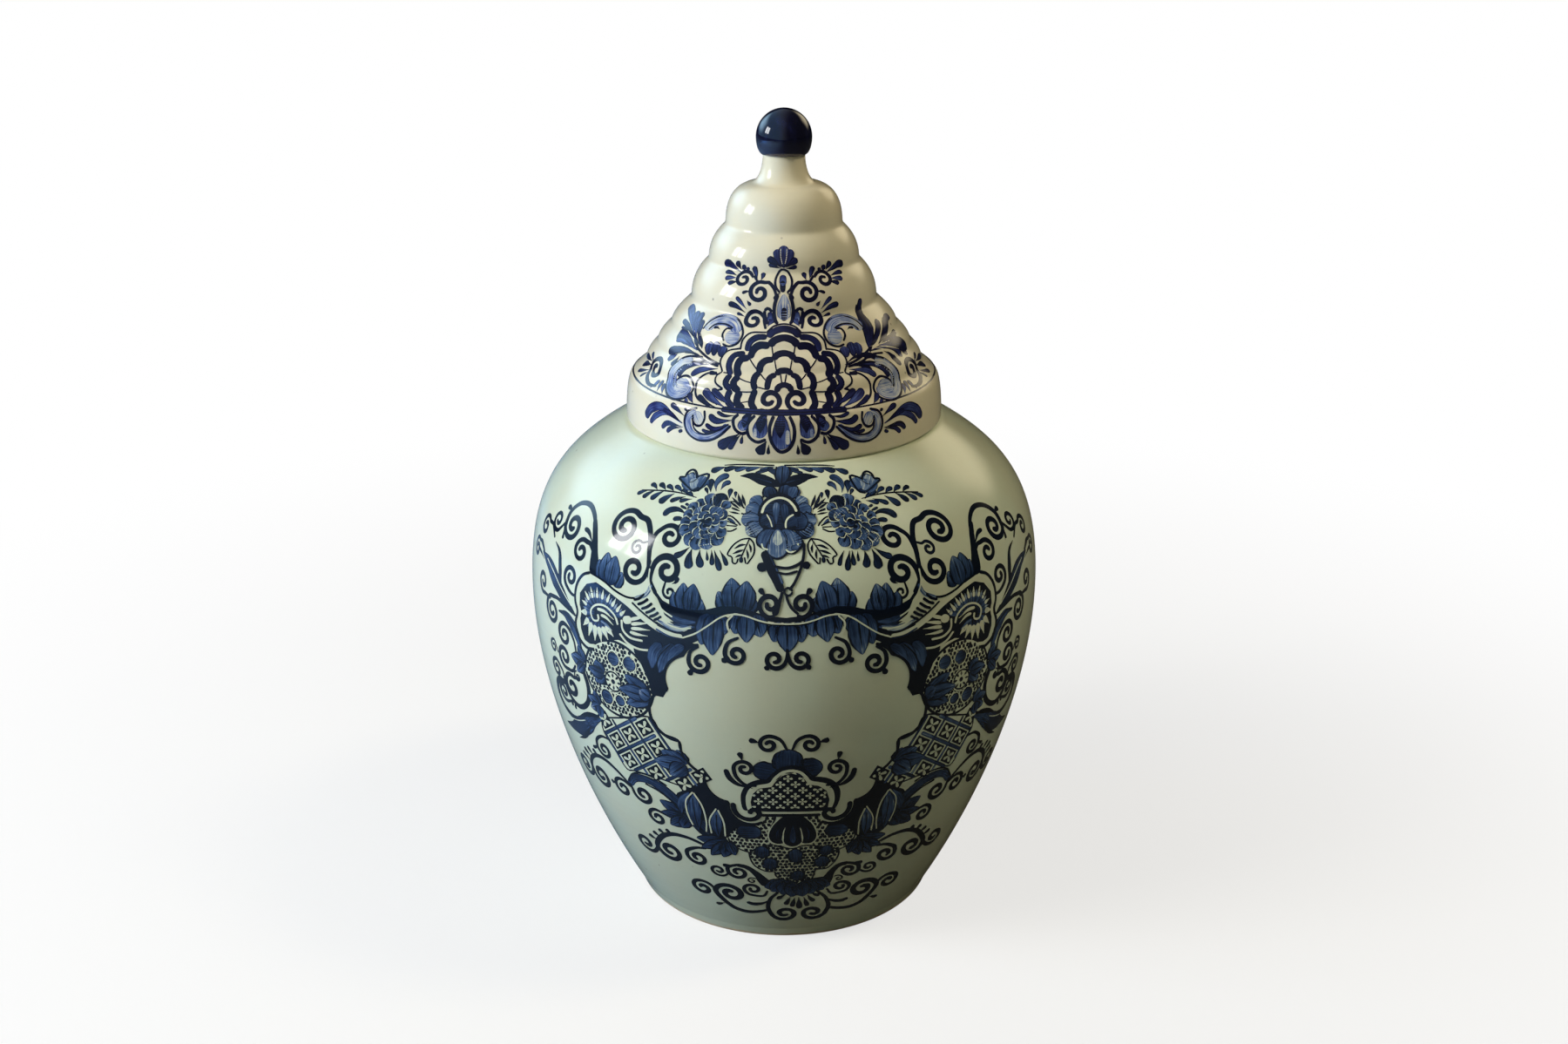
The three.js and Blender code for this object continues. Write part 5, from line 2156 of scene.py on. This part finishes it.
class OBJECT_OT_jar_stage(bpy.types.Operator):
    """Sets the camera, the lamps, the floor and its backdrop"""

    bl_idname = "lidded_jar.stage"
    bl_label = "Stage"
    bl_options = {"REGISTER", "UNDO"}

    def execute(self, context):
        stage = settings_of(context, "stage")
        scene = context.scene
        scene.view_settings.view_transform = "Standard"
        camera = bpy.data.cameras.new("Camera")
        camera.sensor_width = SENSOR_WIDTH
        camera.lens = stage.lens
        camera.clip_end = SIGHT
        holder = bpy.data.objects.new("Camera", camera)
        holder.location = CAMERA_PLACE
        aim(holder, CAMERA_AIM)
        scene.collection.objects.link(holder)
        scene.camera = holder
        lamp(scene, "Key", (-1.36, -0.62, 1.0), 0.18, (0.9, 1.1), stage.key_power, WHITE, "diffuse")
        lamp(scene, "Side", (-1.6, -0.05, 0.25), 0.12, (0.9, 0.4), stage.side_power, AZURE, "diffuse")
        for pane in (-1, 1):
            place = (-1.35 + 0.03 * pane, -0.28 - 0.125 * pane, 0.86)
            lamp(scene, "Window", place, 0.2, (0.24, 0.6), stage.window_power / 2, PALE, "both", 0.15)
        lamp(scene, "Front", (0.45, -1.5, 0.55), 0.15, (0.8, 0.8), stage.front_power, LEAFY, "diffuse")
        lamp(scene, "Fill", (0.98, -0.12, 1.45), 0.26, (0.5, 0.5), stage.fill_power, WARM, "diffuse")
        lamp(scene, "Sky", (-1.45, 1.05, 1.1), 0.2, (2.3, 1.6), stage.sky_power, BLUE, "glossy")
        lamp(scene, "Garden", (1.14, 1.35, 1.1), 0.2, (1.9, 1.3), stage.garden_power, WARM, "glossy")
        backdrop()
        world_light(scene, stage)
        return {"FINISHED"}


def aim(thing, target):
    """Turns a camera or a lamp to look at a point."""
    thing.rotation_euler = (Vector(target) - thing.location).to_track_quat("-Z", "Y").to_euler()


def lamp(scene, name, place, aim_height, size, power, colour, seen, softness=0.4):
    """Rectangular lamp with soft edges that looks at a height of the jar. It lights the object, is mirrored
    in it, or both."""
    light = bpy.data.lights.new(name, "AREA")
    light.shape = "RECTANGLE"
    light.size, light.size_y = size
    light.energy = power
    light.color = colour
    light.use_nodes = True
    nodes = Nodes(light.node_tree)
    panel = nodes.node("NewGeometry", output="Parametric")
    # The middle of the panel is even, and its rim fades out
    across, up = (nodes.part(panel, axis).math("PINGPONG", 0.5).step(0.0, softness) for axis in (0, 1))
    nodes.plug(nodes.tree.nodes["Emission"].inputs["Strength"], across * up * (1 - softness) ** -2)
    holder = bpy.data.objects.new(name, light)
    holder.location = place
    holder.visible_glossy = seen != "diffuse"
    holder.visible_diffuse = seen != "glossy"
    aim(holder, (0, 0, aim_height))
    scene.collection.objects.link(holder)


def backdrop():
    """White floor that reaches far behind the jar and curves up into a wall by a quarter circle. The camera
    sees a plain white with the jar's shadow on it."""
    f = Finish("White paper", (0.9, 0.9, 0.9))
    output = f.tree.nodes["Material Output"]
    glow = f.node("Emission", {}, {"Color": (1, 1, 1, 1), "Strength": 1.0})
    sight, glint = (f.node("LightPath", output=ray) for ray in ("Is Camera Ray", "Is Glossy Ray"))
    left = f.part(f.place, 0).step(0.05, -0.45)
    bounce = f.blend(left, (0.14, 0.13, 0.11), (0.32, 0.33, 0.31))
    mirrored = f.blend(left, (0.07, 0.07, 0.06), (0.24, 0.38, 0.60))
    f.give(
        Base_Color=f.blend(sight, f.blend(glint, bounce, mirrored), (0.88, 0.88, 0.88)),
        Roughness=0.95,
        Specular_IOR_Level=0.1,
    )
    reach = f.node("VectorMath", {"operation": "LENGTH"}, {0: f.place}, "Value")
    share = sight * (0.70 + reach.step(0.10, 0.7) * 0.30)
    mixed = f.node("MixShader", {}, {0: share, 1: Sock(f, f.shader.outputs[0]), 2: glow})
    f.tree.links.new(mixed.socket, output.inputs["Surface"])
    angle = np.linspace(0.1, math.pi / 2, SWEEP_POINTS)
    floor = np.linspace(FLOOR_FRONT, FLOOR_BACK, FLOOR_POINTS)
    depth = np.concatenate([floor, FLOOR_BACK + SWEEP * np.sin(angle), [FLOOR_BACK + SWEEP]])
    rise = np.concatenate([0 * floor, SWEEP * (1 - np.cos(angle)), [BACKDROP_HEIGHT]])
    across = np.tile((-BACKDROP_REACH, BACKDROP_REACH), len(depth))
    points = np.stack([across, np.repeat(depth, 2), np.repeat(rise, 2)], 1) * TO_MILLIMETRES
    index = np.arange(len(points)).reshape(-1, 2)
    quads = np.stack([index[:-1, 0], index[:-1, 1], index[1:, 1], index[1:, 0]], 1)
    paper = make_mesh("Backdrop", f.material, points, quads, [])


def world_light(scene, stage):
    """Even light from all sides, white to the camera, and to the glaze a room with a blue window side at the
    left."""
    world = bpy.data.worlds.new("Studio")
    world.use_nodes = True
    nodes = Nodes(world.node_tree)
    sky = nodes.tree.nodes["Background"].inputs
    seen, glint = (nodes.node("LightPath", output=ray) for ray in ("Is Camera Ray", "Is Glossy Ray"))
    window = nodes.part(nodes.node("TexCoord", output="Generated"), "X").step(0.35, -0.5)
    room = (1 + glint * (window * 14.5 - 0.5)) * stage.world_light
    nodes.plug(sky["Strength"], seen + (1 - seen) * room)
    nodes.plug(sky["Color"], nodes.blend(window * glint, (1, 1, 1), (0.35, 0.66, 1.0)))
    scene.world = world


# Panel and start

OPERATORS = (
    OBJECT_OT_jar_stage,
    OBJECT_OT_jar_pottery,
    OBJECT_OT_lid_pottery,
    OBJECT_OT_jar_painting,
    OBJECT_OT_lid_painting,
)
GROUPS = (("pottery", PotterySettings), ("paint", PaintSettings), ("stage", StageSettings))


class VIEW3D_PT_lidded_jar(bpy.types.Panel):
    """Lists the settings and the operators"""

    bl_label = "Lidded jar"
    bl_idname = "VIEW3D_PT_lidded_jar"
    bl_space_type = "VIEW_3D"
    bl_region_type = "UI"
    bl_category = "Jar"

    def draw(self, context):
        for key, group in GROUPS:
            box = self.layout.box()
            settings = settings_of(context, key)
            for name in group.__annotations__:
                box.prop(settings, name)
        for operator in OPERATORS:
            self.layout.operator(operator.bl_idname)


def register():
    """Registers the classes and hangs the settings on the scene."""
    for key, group in GROUPS:
        bpy.utils.register_class(group)
        setattr(bpy.types.Scene, "lidded_jar_" + key, PointerProperty(type=group))
    for operator in OPERATORS:
        bpy.utils.register_class(operator)
    bpy.utils.register_class(VIEW3D_PT_lidded_jar)


def unregister():
    """Takes the settings and the classes away again."""
    bpy.utils.unregister_class(VIEW3D_PT_lidded_jar)
    for operator in reversed(OPERATORS):
        bpy.utils.unregister_class(operator)
    for key, group in reversed(GROUPS):
        delattr(bpy.types.Scene, "lidded_jar_" + key)
        bpy.utils.unregister_class(group)


def main():
    """Builds the scene."""
    register()
    bpy.ops.lidded_jar.stage()
    bpy.ops.lidded_jar.jar_pottery()
    bpy.ops.lidded_jar.lid_pottery()
    if bpy.context.scene.lidded_jar_paint.with_painting:
        bpy.ops.lidded_jar.jar_painting()
        bpy.ops.lidded_jar.lid_painting()


if __name__ == "__main__":
    main()
